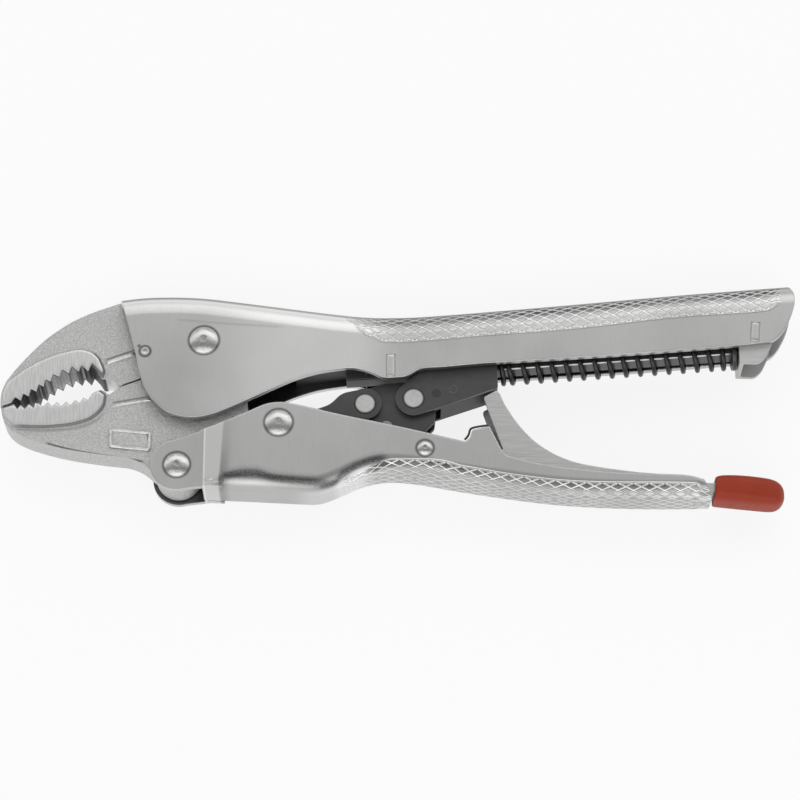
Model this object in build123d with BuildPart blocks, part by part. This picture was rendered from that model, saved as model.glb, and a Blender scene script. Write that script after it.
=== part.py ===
import os
from math import atan2, cos, hypot, pi, radians, sin, tan

from build123d import *

# Overall size. The outline tables count in 254ths of the tool's length.
tool_length = 254.0
length_shares = 254
share = tool_length / length_shares

# Sheet metal channels
upper_sheet = 2.0
upper_inner = 14.2
lower_sheet = 1.8
upper_spine_round = 8.0
lower_spine_round = 4.8

# Jaws
jaw_set_in = 0.8
pad_proud = 1.0
pad_bevel = 0.8
jaw_hub_radius = 9.0
tooth_depth = 2.1
jaw_tail_radius = 7.2
ear_radius = 8.4
lower_tooth_depth = 1.5
parting_gap = 0.35

# Fits
side_gap = 0.2
running_gap = 0.05
seat_gap = 0.3
overrun = 3.0
ear_overlap = 0.6

# Pins and rivets
jaw_rivet_radius = 3.6
jaw_head_radius = 4.8
jaw_head_height = 1.6
ear_rivet_radius = 3.2
ear_head_radius = 4.2
link_rivet_radius = 3.0
link_head_radius = 4.5
head_height = 1.4
small_rivet_radius = 1.8
small_head_radius = 2.7
small_head_height = 1.1
head_flat_share = 0.27
stake_radius = 1.7
flush_pin_radius = 3.2
crank_neck_radius = 2.1
open_pivot_play = 1.25
pin_proud = 0.15

# Links, crank and slider
slider_width = 11.5
slider_sheet = 1.5
crank_sheet = 2.0
crank_eye_radius = 5.2
link_eye_radius = 5.2
link_tail_radius = 4.7
slider_eye_radius = 5.7
link_sleeve_radius = 4.0
washer_thickness = 1.35
stop_bush_radius = 3.7
pawl_thickness = 2.2
pawl_play = 0.45
pawl_pin_radius = 1.2

# Guide rod and main spring
rod_side_room = 0.85
rod_height = 2.8
rod_edge_round = 0.45
rod_slot_play = 0.25
wire = 1.6
coil_rod_gap = 0.12
coil_turns = 17.0
close_turns = 1.0
coil_air = 0.6
seat_washer = 1.2
bracket_sheet = 1.4

# Release lever
lever_sheet = 1.1
lever_side_gap = 0.15
sleeve_wall = 1.3
tongue_width = 9.4
hook_wire = 0.9
lever_eye_radius = 3.3
lever_coil_radius = 2.1
lever_coil_half = 2.6
sleeve_half = 6.8
sleeve_round = 3.2
torsion_wall = 0.9

# Grip pressure screw
screw_rise = 22.6
screw_length = 23.0
trunnion_along = 15.0
head_flutes = 18
flute_radius = 0.35
screw_radius = 1.9
screw_head_radius = 4.4
screw_head_length = 5.0
trunnion_radius = 4.0
slot_width = 1.2
slot_depth = 1.6
torsion_play = 0.2

# Sizes and half widths that follow from the sizes above
jaw_thickness = upper_inner - 2 * jaw_set_in
jaw_web = jaw_thickness - 2 * pad_proud
lower_inner = slider_width + 2 * (side_gap + washer_thickness)
rod_width = slider_width - 2 * (slider_sheet + rod_side_room)
coil_outer = hypot(rod_width, rod_height) + 2 * (coil_rod_gap + wire)
upper_half = upper_inner / 2 + upper_sheet
lower_half = lower_inner / 2 + lower_sheet
upper_spine = min(upper_spine_round, upper_half - running_gap)
lower_spine = min(lower_spine_round, lower_half - running_gap)
ear_inner_half = jaw_thickness / 2 + side_gap
ear_half = ear_inner_half + lower_sheet
hub_half = upper_inner / 2 - side_gap
link_outer = slider_width / 2
link_inner = link_outer - slider_sheet
crank_outer = link_inner - side_gap
crank_inner = crank_outer - crank_sheet
lever_half = lower_inner / 2 - lever_side_gap
half_depth = max(upper_half, lower_half) + jaw_head_height

# The side plane lies in the middle of the tool, lifted so that it rests on zero
lift_share = -0.25
side = Plane(origin=(0, lift_share * share, half_depth))


def place(point_share):
    return (point_share[0] * share, point_share[1] * share)


# Pivots, as seen from the side
jaw_pivot = place((-62.4, 16.7))
ear_pivot = place((-70.1, -25.2))
link_pivot = place((-38.2, -11.3))
crank_pivot = place((-10.9, -3.7))
slider_pivot = place((4.5, -1.9))
stop_pivot = place((-4.1, -10.7))
lever_pivot = place((8.1, -19.9))
stake_place = place((-81.1, 12.9))
pawl_pivot = place((17.2, 1.2))

# Guide rod's line
rod_slope = radians(4.2)
rod_from = place((-14.0, 6.68))
rod_to_share = 112.0
slider_back_share = 31.4
seat_share = 106.6
bracket_front_share = 108.6

# Outlines: x, y, and how round the corner is, from 0 for sharp to 1
corner_share = 0.45
upper_outline_shares = [
    (-89.9, 32.9, 0), (-82.0, 34.0, 1), (-72.0, 34.2, 1), (-62.8, 33.8, 1),
    (-52.0, 32.4, 1), (-22.2, 28.3, 1), (-10.0, 26.9, 1), (4.0, 27.0, 1),
    (20.0, 28.3, 1), (51.4, 31.1, 1), (91.1, 35.0, 1), (131.0, 38.2, 0),
    (131.0, 16.9, 0), (119.9, 16.5, 1), (111.0, 15.2, 1), (71.6, 11.8, 1), (25.8, 8.8, 1),
    (13.0, 7.5, 1), (6.6, 7.2, 1), (2.5, 4.3, 1), (-5.0, 3.7, 1),
    (-9.0, 6.0, 1), (-15.2, 7.5, 1), (-26.0, 5.9, 1), (-33.7, 3.4, 1),
    (-50.8, -4.8, 1), (-59.0, -8.5, 1), (-66.0, -9.9, 1), (-73.5, -8.0, 1),
    (-77.6, -4.4, 1), (-80.8, -0.3, 1), (-82.6, 5.2, 1), (-84.7, 14.7, 1),
]
upper_spine_count = 12
upper_end_shares = [
    (118.0, 46.0, 0), (124.8, 38.2, 0), (126.7, 34.2, 1), (127.0, 30.0, 1),
    (125.6, 25.2, 1), (123.0, 20.2, 1), (121.1, 17.8, 1), (118.8, 16.3, 0),
    (118.8, 8.0, 0), (140.0, 8.0, 0), (140.0, 46.0, 0),
]
fixed_jaw_shares = [
    (-123.3, -3.55, 0), (-126.8, -4.85, 0.5), (-127.0, -0.6, 1), (-125.7, 3.5, 1),
    (-122.4, 8.4, 1), (-117.4, 14.3, 1), (-112.6, 19.2, 1), (-105.4, 24.5, 1),
    (-98.4, 27.9, 1), (-89.6, 31.0, 0.1), (-88.9, 28.6, 0.1), (-73.0, 28.0, 0.5),
]
fixed_root_shares = [
    (-122.1, -1.7), (-119.6, -0.5), (-117.2, 1.1), (-114.8, 2.7), (-112.7, 4.4),
    (-110.4, 6.2), (-107.5, 7.8), (-104.5, 8.8), (-101.4, 9.2), (-98.4, 9.2),
]
tooth_lean_share = 0.72
fixed_throat_shares = [
    (-96.4, 7.1, 0), (-94.8, 4.6, 0.5), (-92.0, 5.0, 0.6), (-89.4, 2.6, 0.5), (-82.3, 5.3, 0.3),
]
root_turns_share = (118, 136, 154, 172)
root_arc_soft_share = 0.3
jaw_root_shares = [
    (-82.2, 8.0, 0.3), (-83.9, 15.0, 0), (-86.2, 23.4, 0.4), (-72.0, 24.0, 0.4),
    (-66.6, 24.0, 0.3), (-71.4, 15.6, 0), (-79.0, 8.0, 0.3),
]
fixed_pad_shares = [
    (-126.8, -4.85, 0), (-127.0, -0.6, 1), (-125.6, 3.6, 1), (-118.6, 9.4, 1),
    (-110.6, 13.4, 1), (-101.9, 15.6, 1), (-96.2, 13.4, 1), (-93.7, 7.4, 0.6), (-94.6, 5.0, 0),
    (-96.4, 7.1, 0),
]
lower_pad_shares = [
    (-126.4, -5.6, 0), (-125.8, -9.4, 0.8), (-123.0, -11.6, 0.6), (-112.6, -12.1, 1),
    (-103.3, -11.1, 1), (-97.2, -9.0, 1), (-93.6, -5.0, 1), (-93.2, -0.7, 0.4), (-95.2, 0.9, 0),
]
lower_jaw_shares = [
    (-82.0, 4.7, 0.4), (-89.0, 2.1, 0.4), (-92.6, -0.6, 0.8), (-93.8, 0.6, 0.4), (-95.2, 1.1, 0),
    (-96.3, -0.9, 0),
]
tail_turns_share = (18, 40)
hub_turn_share = 26
lower_tip_shares = [
    (-97.6, -0.4), (-100.4, -1.9), (-103.0, -2.7), (-105.9, -3.3), (-108.8, -3.4),
    (-111.7, -3.4), (-114.7, -3.6), (-117.7, -4.0), (-120.3, -4.3), (-122.4, -4.2),
]
lower_tip_end_shares = [(-123.4, -4.6, 0)]
lower_nose_shares = [
    (-126.6, -5.35, 0.5), (-125.8, -9.4, 1), (-122.8, -13.0, 1), (-118.0, -15.4, 1),
    (-110.9, -17.7, 1), (-103.4, -19.4, 1), (-93.6, -20.9, 1), (-85.5, -21.8, 1),
    (-81.2, -23.6, 1),
]
jaw_tail_shares = [(-55.2, -20.0, 0.6), (-49.6, -12.4, 1), (-47.6, -4.4, 1), (-51.8, 6.0, 1)]
lower_wall_shares = [
    (-63.0, -13.6, 0), (-55.8, -11.0, 1), (-47.6, -7.4, 1), (-42.4, -4.9, 1),
    (-37.6, -4.2, 1), (-30.0, -5.7, 1), (-19.0, -8.6, 1), (-0.9, -12.4, 1),
    (20.9, -17.8, 0.6), (22.3, -16.4, 0.4), (23.0, -13.9, 0.6), (28.4, -12.5, 0.2),
    (33.0, -22.2, 0.4), (45.0, -25.5, 1), (64.2, -27.9, 1), (90.5, -28.9, 1),
    (95.6, -30.2, 1), (98.2, -35.4, 0), (80.2, -35.6, 1), (64.2, -35.2, 1),
    (49.2, -34.2, 1), (32.8, -32.0, 1), (16.5, -29.3, 1), (6.0, -27.2, 1),
    (-3.6, -26.4, 1), (-11.3, -27.9, 1), (-19.5, -31.9, 1), (-25.5, -34.2, 1),
    (-44.6, -33.2, 1), (-62.0, -32.4, 0),
]
lower_spine_start = 17
ear_shares = [(-61.0, -13.2, 0), (-55.6, -10.9, 0), (-55.6, -32.5, 0), (-60.0, -32.3, 0)]
joggle_shares = (-61.8, -55.6)
joggle_web_shares = [(-58.6, -12.1, 0), (-55.4, -10.9, 0), (-55.4, -31.0, 0), (-58.6, -31.0, 0)]
link_shares = [
    (-10.9, 1.5, 0), (-18.4, -0.2, 0.8), (-22.0, -4.0, 0.8), (-28.0, -6.2, 0.8),
    (-37.6, -6.7, 0), (-39.0, -15.9, 0), (-24.0, -12.9, 0.8), (-12.6, -8.6, 0),
]
crank_shares = [
    (-11.6, 1.4, 0), (-6.0, 3.4, 0.8), (3.0, 4.4, 0.8), (9.0, 1.4, 0.8), (11.6, -5.6, 0.6),
    (11.2, -9.2, 0.4), (7.9, -12.4, 0.4), (0.6, -14.9, 0.6), (-4.4, -16.2, 0),
    (-8.6, -13.6, 0), (-14.4, -7.6, 0),
]
slider_shares = [
    (0.6, 2.2, 0), (3.6, 5.0, 0.5), (9.4, 9.6, 0.5), (12.0, 12.8, 0.4), (31.0, 14.4, 0.1),
    (31.4, 2.2, 0.5), (30.6, 1.1, 0.5), (6.6, -7.25, 0),
]
slider_hollow_shares = [
    (-12.0, -1.0, 0), (-12.0, 24.0, 0), (29.9, 24.0, 0), (29.9, 2.3, 0.3), (13.2, -3.4, 0),
    (13.2, -14.0, 0), (-12.0, -14.0, 0),
]
pawl_top_share = 13.0
lever_shares = [
    (33.0, -20.6, 0.2), (26.7, -2.1, 0.4), (30.9, 0.2, 0.5), (32.0, -1.0, 0.3),
    (33.2, -4.2, 1), (37.0, -10.6, 1), (42.1, -16.7, 1), (48.4, -21.2, 1),
    (55.2, -24.1, 1), (64.2, -25.9, 1), (78.0, -27.7, 1), (90.0, -28.3, 1),
    (95.8, -29.6, 0.4), (96.6, -31.0, 0), (80.0, -30.8, 1), (60.0, -29.9, 1), (30.0, -26.4, 1),
]
lever_root_shares = [
    (8.1, -16.6, 0), (20.0, -18.6, 0), (33.2, -19.8, 0), (34.0, -26.8, 0), (20.0, -25.6, 0),
    (8.1, -23.2, 0),
]
lever_hollow_shares = [
    (2.0, -12.0, 0), (24.0, -12.0, 0), (24.0, 6.0, 0), (31.6, 6.0, 0), (31.6, -4.6, 0.3),
    (35.8, -11.3, 1), (41.0, -17.5, 1), (47.6, -22.2, 1), (54.8, -25.2, 1), (64.0, -27.1, 1),
    (78.0, -28.9, 1), (94.4, -29.7, 0), (94.4, -40.0, 0), (2.0, -40.0, 0),
]
tongue_outline_shares = [
    (95.2, -30.0, 0), (118.4, -30.4, 0.3), (118.0, -34.6, 0.3), (95.2, -32.6, 0),
]
sleeve_shares = [
    (99.8, -28.2, 0.5), (105.0, -27.2, 1), (114.0, -27.8, 1), (119.2, -29.4, 1),
    (121.8, -32.8, 1), (120.6, -36.8, 1), (114.0, -37.3, 1), (98.9, -36.4, 0.5),
]
bracket_hollow_shares = [(110.0, 4.0, 0), (110.0, 30.0, 0), (124.0, 30.0, 0), (124.0, 4.0, 0)]
bracket_shares = [
    (108.6, 9.8, 0.2), (114.6, 9.6, 0.8), (117.0, 11.7, 1), (119.6, 17.2, 0.5),
    (119.2, 24.6, 0.4), (108.6, 24.0, 0.2),
]
block_shares = [
    (-33.4, 7.0, 0.3), (-12.6, 9.8, 0.2), (-10.4, 5.9, 0.2), (-10.4, 12.6, 0.3),
    (-33.4, 11.8, 0.3),
]
hook_shares = [
    (20.2, -16.7, 8.2), (21.7, -15.7, 8.2), (21.8, -13.0, 8.2), (28.0, -11.6, 8.2),
    (28.0, -11.6, 0.0), (24.0, -17.35, 0.0), (8.1, -17.35, 0.0),
]
tag_shares = [(-91.6, -12.2, 0.4), (-80.0, -13.9, 0.4), (-79.2, -19.8, 0.4), (-90.8, -18.1, 0.4)]
tag_height = 0.3


def rounded_line(table_share):
    """Closed outline in which each corner takes up to 0.45 of its shorter run."""
    points = [place(row) for row in table_share]
    radii = []
    for index, row in enumerate(table_share):
        here = points[index]
        before = points[index - 1]
        after = points[(index + 1) % len(points)]
        run_in = hypot(here[0] - before[0], here[1] - before[1])
        run_out = hypot(after[0] - here[0], after[1] - here[1])
        turn = atan2(after[1] - here[1], after[0] - here[0])
        turn = turn - atan2(here[1] - before[1], here[0] - before[0])
        turn = abs((turn + pi) % (2 * pi) - pi)
        reach = row[2] * corner_share * min(run_in, run_out)
        radii.append(reach / tan(turn / 2) if row[2] else 0)
    FilletPolyline(*points, radius=radii, close=True)


def slab(table_share, low, high, mode=Mode.ADD):
    """Plate of the given outline between two distances from the middle."""
    with BuildSketch(side.offset(low)) as profile:
        with BuildLine():
            rounded_line(table_share)
        make_face()
    extrude(profile.sketch, amount=high - low, mode=mode)


def disc(centre, radius, low, high, mode=Mode.ADD):
    """Round plate or hole along the pins' direction."""
    with BuildSketch(side.offset(low)) as profile:
        with Locations(centre):
            Circle(radius)
    extrude(profile.sketch, amount=high - low, mode=mode)


def both_sides(low, high):
    return [(low, high), (-high, -low)]


def rivet(centre, shank, half, head, height):
    """Shank with a domed head at each end, flattened at its top."""
    with BuildPart() as made:
        disc(centre, shank, -half, half)
        flat = head_flat_share * head
        ball_rise = (height ** 2 + flat ** 2 - head ** 2) / (2 * height)
        ball = hypot(head, ball_rise)
        for facing in (1, -1):
            seat = side.offset(facing * half)
            with BuildSketch(Plane(origin=seat.from_local_coords((centre[0], centre[1], 0)),
                                   x_dir=(1, 0, 0), z_dir=(0, -1, 0))) as cap:
                with BuildLine():
                    rise = Vector(0, facing * height)
                    rim = Vector(head, 0)
                    crown = Vector(flat, facing * height)
                    middle_turn = (atan2(head, -ball_rise) + atan2(flat, height - ball_rise)) / 2
                    middle = Vector(ball * sin(middle_turn),
                                    facing * (ball * cos(middle_turn) + ball_rise))
                    Line((0, 0), rim)
                    ThreePointArc(rim, middle, crown)
                    Line(crown, rise)
                    Line(rise, (0, 0))
                make_face()
            revolve(axis=Axis(seat.from_local_coords((centre[0], centre[1], 0)), (0, 0, 1)))
    return made.part


def hole_of(table_share, low, high):
    """Plate kept apart, to be cut from another piece."""
    with BuildPart() as made:
        slab(table_share, low, high)
    return made.part


def spine_edges(made, half, spine_share, other_share):
    """Long edges of a slab's two faces that run nearer to the spine's points than to the others."""
    chosen = []
    for edge in made.edges():
        middle = side.to_local_coords(edge.center())
        if abs(abs(middle.Z) - half) > running_gap or edge.length < running_gap:
            continue
        to_spine = gap_to_line(middle, spine_share)
        to_other = gap_to_line(middle, other_share)
        if to_spine < to_other:
            chosen.append(edge)
    return chosen


def gap_to_line(point, table_share):
    """Least distance from a point to an outline's runs, seen from the side."""
    least = tool_length
    for start_share, end_share in zip(table_share[:-1], table_share[1:]):
        start, end = place(start_share), place(end_share)
        run = (end[0] - start[0], end[1] - start[1])
        span = run[0] ** 2 + run[1] ** 2
        along = ((point.X - start[0]) * run[0] + (point.Y - start[1]) * run[1]) / span
        along = min(max(along, 0), 1)
        least = min(least, hypot(point.X - start[0] - along * run[0],
                                 point.Y - start[1] - along * run[1]))
    return least


def shifted(table_share, drop):
    """Outline moved down by a length, for the inner side of a spine."""
    return [(row[0], row[1] - drop / share, row[2]) for row in table_share]


def on_rod(along):
    """Plane across the guide rod, at a place counted along the tool."""
    start = place((along, 0))[0]
    height = rod_from[1] + (start - rod_from[0]) * tan(rod_slope)
    centre = side.from_local_coords((start, height, 0))
    return Plane(origin=centre, x_dir=(0, 0, 1), z_dir=(cos(rod_slope), sin(rod_slope), 0))


def finish(made, name):
    made.part.label = name
    export_step(made.part, "parts/" + name + ".step")


os.makedirs("parts", exist_ok=True)

# Fixed handle: a channel with its spine up, whose fan-shaped front holds the jaws
upper_top_shares = upper_outline_shares[:upper_spine_count]
front_x, front_y, front_soft = upper_top_shares[0]
back_x, back_y, back_soft = upper_top_shares[-1]
past = overrun / share
hollow_top_shares = shifted(
    [(front_x - past, front_y, 0)] + upper_top_shares[1:-1] + [(back_x + past, back_y, 0)],
    upper_sheet,
)
hollow_end_shares = [(back_x + past, ear_shares[-1][1], 0), (front_x - past, ear_shares[-1][1], 0)]
with BuildPart() as upper_hollow:
    slab(hollow_top_shares + hollow_end_shares, -upper_inner / 2, upper_inner / 2)
    fillet(spine_edges(upper_hollow, upper_inner / 2, hollow_top_shares,
                       [hollow_top_shares[-1]] + hollow_end_shares + [hollow_top_shares[0]]),
           upper_spine - upper_sheet)

with BuildPart() as fixed_handle:
    slab(upper_outline_shares, -upper_half, upper_half)
    fillet(spine_edges(fixed_handle, upper_half, upper_top_shares,
                       upper_outline_shares[upper_spine_count - 1:] + upper_outline_shares[:1]),
           upper_spine)
    add(upper_hollow.part, mode=Mode.SUBTRACT)
    slab(upper_end_shares, -upper_half - overrun, upper_half + overrun, mode=Mode.SUBTRACT)
    disc(jaw_pivot, jaw_rivet_radius, -upper_half, upper_half, mode=Mode.SUBTRACT)
    disc(stake_place, stake_radius, -upper_half, upper_half, mode=Mode.SUBTRACT)
finish(fixed_handle, "fixed_handle")

# Fixed jaw: a forging whose root sits between the walls of the fan
fixed_teeth_shares = []
for index, root in enumerate(fixed_root_shares):
    fixed_teeth_shares.append((root[0], root[1], 0))
    if index + 1 < len(fixed_root_shares):
        after = fixed_root_shares[index + 1]
        lean = tooth_lean_share
        tip_x = root[0] + lean * (after[0] - root[0])
        tip_y = root[1] + lean * (after[1] - root[1]) - tooth_depth / share
        fixed_teeth_shares.append((tip_x, tip_y, 0))
hub_x, hub_y = jaw_pivot[0] / share, jaw_pivot[1] / share
hub_clear = (jaw_hub_radius + parting_gap) / share
root_arc_shares = [
    (hub_x + hub_clear * cos(radians(turn)), hub_y + hub_clear * sin(radians(turn)), 0)
    for turn in root_turns_share
]
fixed_outline_shares = (
    fixed_jaw_shares + [(root_arc_shares[0][0], fixed_jaw_shares[-1][1], root_arc_soft_share)]
    + root_arc_shares + fixed_throat_shares[::-1] + fixed_teeth_shares[::-1]
)
fixed_pad_outline_shares = fixed_pad_shares + fixed_teeth_shares[::-1] + fixed_jaw_shares[:1]
with BuildPart() as fixed_pad:
    slab(fixed_pad_outline_shares, -jaw_thickness / 2, jaw_thickness / 2)
    chamfer(spine_edges(fixed_pad, jaw_thickness / 2, fixed_pad_shares[2:-1],
                        fixed_teeth_shares + fixed_pad_shares[:2]), pad_bevel)
with BuildPart() as fixed_jaw:
    slab(fixed_outline_shares, -jaw_web / 2, jaw_web / 2)
    add(fixed_pad.part)
    slab(jaw_root_shares, -upper_inner / 2, upper_inner / 2)
    disc(jaw_pivot, jaw_hub_radius + parting_gap, -upper_inner / 2, upper_inner / 2,
         mode=Mode.SUBTRACT)
    disc(stake_place, stake_radius, -upper_half, upper_half, mode=Mode.SUBTRACT)
finish(fixed_jaw, "fixed_jaw")

# Stake pin through the walls and the fixed jaw's root
with BuildPart() as jaw_stake_pin:
    disc(stake_place, stake_radius, -upper_half - pin_proud, upper_half + pin_proud)
finish(jaw_stake_pin, "jaw_stake_pin")

# Lower jaw: nose, neck to the hub, and tail to the handle's rivet
lower_teeth_shares = []
for index, tip in enumerate(lower_tip_shares):
    if index:
        before = lower_tip_shares[index - 1]
        lower_teeth_shares.append(((before[0] + tip[0]) / 2,
                                   (before[1] + tip[1]) / 2 - lower_tooth_depth / share, 0))
    lower_teeth_shares.append((tip[0], tip[1], 0))
tail_x, tail_y = ear_pivot[0] / share, ear_pivot[1] / share
tail_r = jaw_tail_radius / share
hub_r = jaw_hub_radius / share
tail_front, tail_back = [radians(turn) for turn in tail_turns_share]
hub_turn = radians(hub_turn_share)
lower_jaw_outline_shares = (
    lower_jaw_shares + lower_teeth_shares + lower_tip_end_shares + lower_nose_shares
    + [(tail_x - tail_r * cos(tail_front), tail_y - tail_r * sin(tail_front), 0),
       (tail_x, tail_y, 0),
       (tail_x + tail_r * cos(tail_back), tail_y - tail_r * sin(tail_back), 0)]
    + jaw_tail_shares
    + [(hub_x, hub_y, 0), (hub_x - hub_r * cos(hub_turn), hub_y - hub_r * sin(hub_turn), 0)]
)
lower_pad_outline_shares = lower_pad_shares + lower_teeth_shares + lower_tip_end_shares
with BuildPart() as lower_pad:
    slab(lower_pad_outline_shares, -jaw_thickness / 2, jaw_thickness / 2)
    chamfer(spine_edges(lower_pad, jaw_thickness / 2, lower_pad_shares[2:-1],
                        lower_teeth_shares + lower_pad_shares[:2]), pad_bevel)
with BuildPart() as lower_jaw:
    slab(lower_jaw_outline_shares, -jaw_web / 2, jaw_web / 2)
    add(lower_pad.part)
    disc(jaw_pivot, jaw_hub_radius, -hub_half, hub_half)
    disc(ear_pivot, jaw_tail_radius, -jaw_thickness / 2, jaw_thickness / 2)
    slab(tag_shares, jaw_web / 2, jaw_web / 2 + tag_height)
    disc(jaw_pivot, jaw_rivet_radius + running_gap, -hub_half, hub_half, mode=Mode.SUBTRACT)
    disc(ear_pivot, ear_rivet_radius + running_gap, -hub_half, hub_half, mode=Mode.SUBTRACT)
finish(lower_jaw, "lower_jaw")

# Lower handle: a channel with its spine down, drawn in at the front to two ears
lower_bottom_shares = lower_wall_shares[lower_spine_start:]
end_x, end_y, end_soft = lower_bottom_shares[0]
last_x, last_y, last_soft = lower_bottom_shares[-1]
inner_bottom_shares = shifted(
    [(end_x + past, end_y, 0)] + lower_bottom_shares[1:-1] + [(last_x - past, last_y, 0)],
    -lower_sheet,
)
inner_top_shares = [(last_x - past, 0, 0), (end_x + past, 0, 0)]
with BuildPart() as lower_hollow:
    slab(inner_bottom_shares + inner_top_shares, -lower_inner / 2, lower_inner / 2)
    fillet(spine_edges(lower_hollow, lower_inner / 2, inner_bottom_shares,
                       [inner_bottom_shares[-1]] + inner_top_shares + [inner_bottom_shares[0]]),
           lower_spine - lower_sheet)

joggle_start, joggle_end = [along * share for along in joggle_shares]
with BuildPart() as lower_body:
    slab(lower_wall_shares, -lower_half, lower_half)
    fillet(spine_edges(lower_body, lower_half, lower_bottom_shares,
                       [lower_wall_shares[-1]] + lower_wall_shares[:lower_spine_start + 1]),
           lower_spine)
    add(lower_hollow.part, mode=Mode.SUBTRACT)

ear_x = tail_x - ear_overlap / share
ear_reach_shares = [(ear_x, tail_y + ear_radius / share, 0)] + ear_shares + [
    (ear_x, tail_y - ear_radius / share, 0),
]
with BuildPart() as joggle_cut:
    for facing in (1, -1):
        with BuildSketch(Plane.XZ.offset(tool_length)) as wedge:
            with BuildLine():
                wedge_near = half_depth + facing * ear_half
                wedge_far = half_depth + facing * lower_half
                wedge_past = half_depth + facing * (lower_half + overrun)
                wedge_from = joggle_start - 2 * overrun
                Polyline((wedge_from, wedge_near), (joggle_start, wedge_near),
                         (joggle_end, wedge_far), (joggle_end, wedge_past),
                         (wedge_from, wedge_past), close=True)
            make_face()
        extrude(wedge.sketch, amount=-2 * tool_length)

with BuildPart() as lower_handle:
    add(lower_body.part)
    for low, high in both_sides(ear_inner_half, ear_half):
        slab(ear_reach_shares, low, high)
        disc(ear_pivot, ear_radius, low, high)
    for low, high in both_sides(ear_inner_half, lower_half):
        slab(joggle_web_shares, low, high)
    add(joggle_cut.part, mode=Mode.SUBTRACT)
    disc(ear_pivot, ear_rivet_radius, -ear_half - overrun, ear_half + overrun,
         mode=Mode.SUBTRACT)
    disc(link_pivot, link_rivet_radius, -lower_half, lower_half, mode=Mode.SUBTRACT)
    disc(lever_pivot, small_rivet_radius, -lower_half, lower_half, mode=Mode.SUBTRACT)
finish(lower_handle, "lower_handle")

# Rivets: jaw pivot, ears to jaw tail, ears to links, lever pivot
rivets = [
    ("jaw_rivet", jaw_pivot, jaw_rivet_radius, upper_half, jaw_head_radius, jaw_head_height),
    ("ear_rivet", ear_pivot, ear_rivet_radius, ear_half, ear_head_radius, head_height),
    ("link_rivet", link_pivot, link_rivet_radius, lower_half, link_head_radius, head_height),
    ("lever_rivet", lever_pivot, small_rivet_radius, lower_half, small_head_radius,
     small_head_height),
]
for rivet_name, centre, shank, half, head, height in rivets:
    with BuildPart() as made_rivet:
        add(rivet(centre, shank, half, head, height))
    finish(made_rivet, rivet_name)

# Front links: a pair of plates from the handle to the crank
with BuildPart() as front_links:
    for low, high in both_sides(link_inner, link_outer):
        slab(link_shares, low, high)
        disc(crank_pivot, link_eye_radius, low, high)
        disc(link_pivot, link_tail_radius, low, high)
    disc(link_pivot, link_rivet_radius + running_gap, -link_outer, link_outer, mode=Mode.SUBTRACT)
    disc(crank_pivot, flush_pin_radius, -link_outer, link_outer, mode=Mode.SUBTRACT)
finish(front_links, "front_links")

# Sleeve on the link rivet between the plates, and washers between plates and walls
with BuildPart() as link_sleeve:
    disc(link_pivot, link_sleeve_radius, -link_inner + side_gap, link_inner - side_gap)
    disc(link_pivot, link_rivet_radius, -link_inner, link_inner, mode=Mode.SUBTRACT)
finish(link_sleeve, "link_sleeve")

with BuildPart() as link_washers:
    for low, high in both_sides(link_outer + side_gap, lower_inner / 2):
        disc(link_pivot, link_sleeve_radius, low, high)
        disc(link_pivot, link_rivet_radius, low, high, mode=Mode.SUBTRACT)
finish(link_washers, "link_washers")

# Torsion spring round the sleeve
with BuildPart() as handle_spring:
    spring_bore = link_sleeve_radius + torsion_play
    disc(link_pivot, spring_bore + torsion_wall, -crank_outer + side_gap, crank_outer - side_gap)
    disc(link_pivot, spring_bore, -crank_outer, crank_outer, mode=Mode.SUBTRACT)
finish(handle_spring, "handle_spring")

# Crank: a pair of plates between the links and the slider
with BuildPart() as crank_plates:
    for low, high in both_sides(crank_inner, crank_outer):
        slab(crank_shares, low, high)
        disc(crank_pivot, crank_eye_radius, low, high)
        disc(stop_pivot, crank_eye_radius, low, high)
    disc(crank_pivot, crank_neck_radius + open_pivot_play, -crank_outer, crank_outer,
         mode=Mode.SUBTRACT)
    disc(slider_pivot, flush_pin_radius + running_gap, -crank_outer, crank_outer,
         mode=Mode.SUBTRACT)
    disc(stop_pivot, small_rivet_radius, -crank_outer, crank_outer, mode=Mode.SUBTRACT)
finish(crank_plates, "crank_plates")

# Pin of the link end, necked where it passes the crank
with BuildPart() as crank_pin:
    disc(crank_pivot, crank_neck_radius, -link_inner, link_inner)
    for low, high in both_sides(link_inner, link_outer + pin_proud):
        disc(crank_pivot, flush_pin_radius, low, high)
finish(crank_pin, "crank_pin")

# Stop bush and its pin, which meet the pressure screw
with BuildPart() as stop_bush:
    disc(stop_pivot, stop_bush_radius, -crank_inner, crank_inner)
    disc(stop_pivot, small_rivet_radius, -crank_inner, crank_inner, mode=Mode.SUBTRACT)
finish(stop_bush, "stop_bush")

with BuildPart() as stop_pin:
    disc(stop_pivot, small_rivet_radius, -crank_outer, crank_outer)
finish(stop_pin, "stop_pin")

# Slider: two plates and a rear wall, with a web along the lower edge
with BuildPart() as slider:
    slab(slider_shares, -link_outer, link_outer)
    disc(slider_pivot, slider_eye_radius, -link_outer, link_outer)
    add(hole_of(slider_hollow_shares, -link_inner, link_inner), mode=Mode.SUBTRACT)
    slot_from = on_rod(slider_hollow_shares[3][0] - past)
    with BuildSketch(slot_from) as rod_slot:
        Rectangle(rod_width + 2 * rod_slot_play, rod_height + 2 * rod_slot_play)
    extrude(rod_slot.sketch, amount=2 * overrun + 2 * slider_sheet, mode=Mode.SUBTRACT)
    disc(slider_pivot, flush_pin_radius, -link_outer, link_outer, mode=Mode.SUBTRACT)
    disc(pawl_pivot, pawl_pin_radius, -link_outer, link_outer, mode=Mode.SUBTRACT)
finish(slider, "slider")

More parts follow.
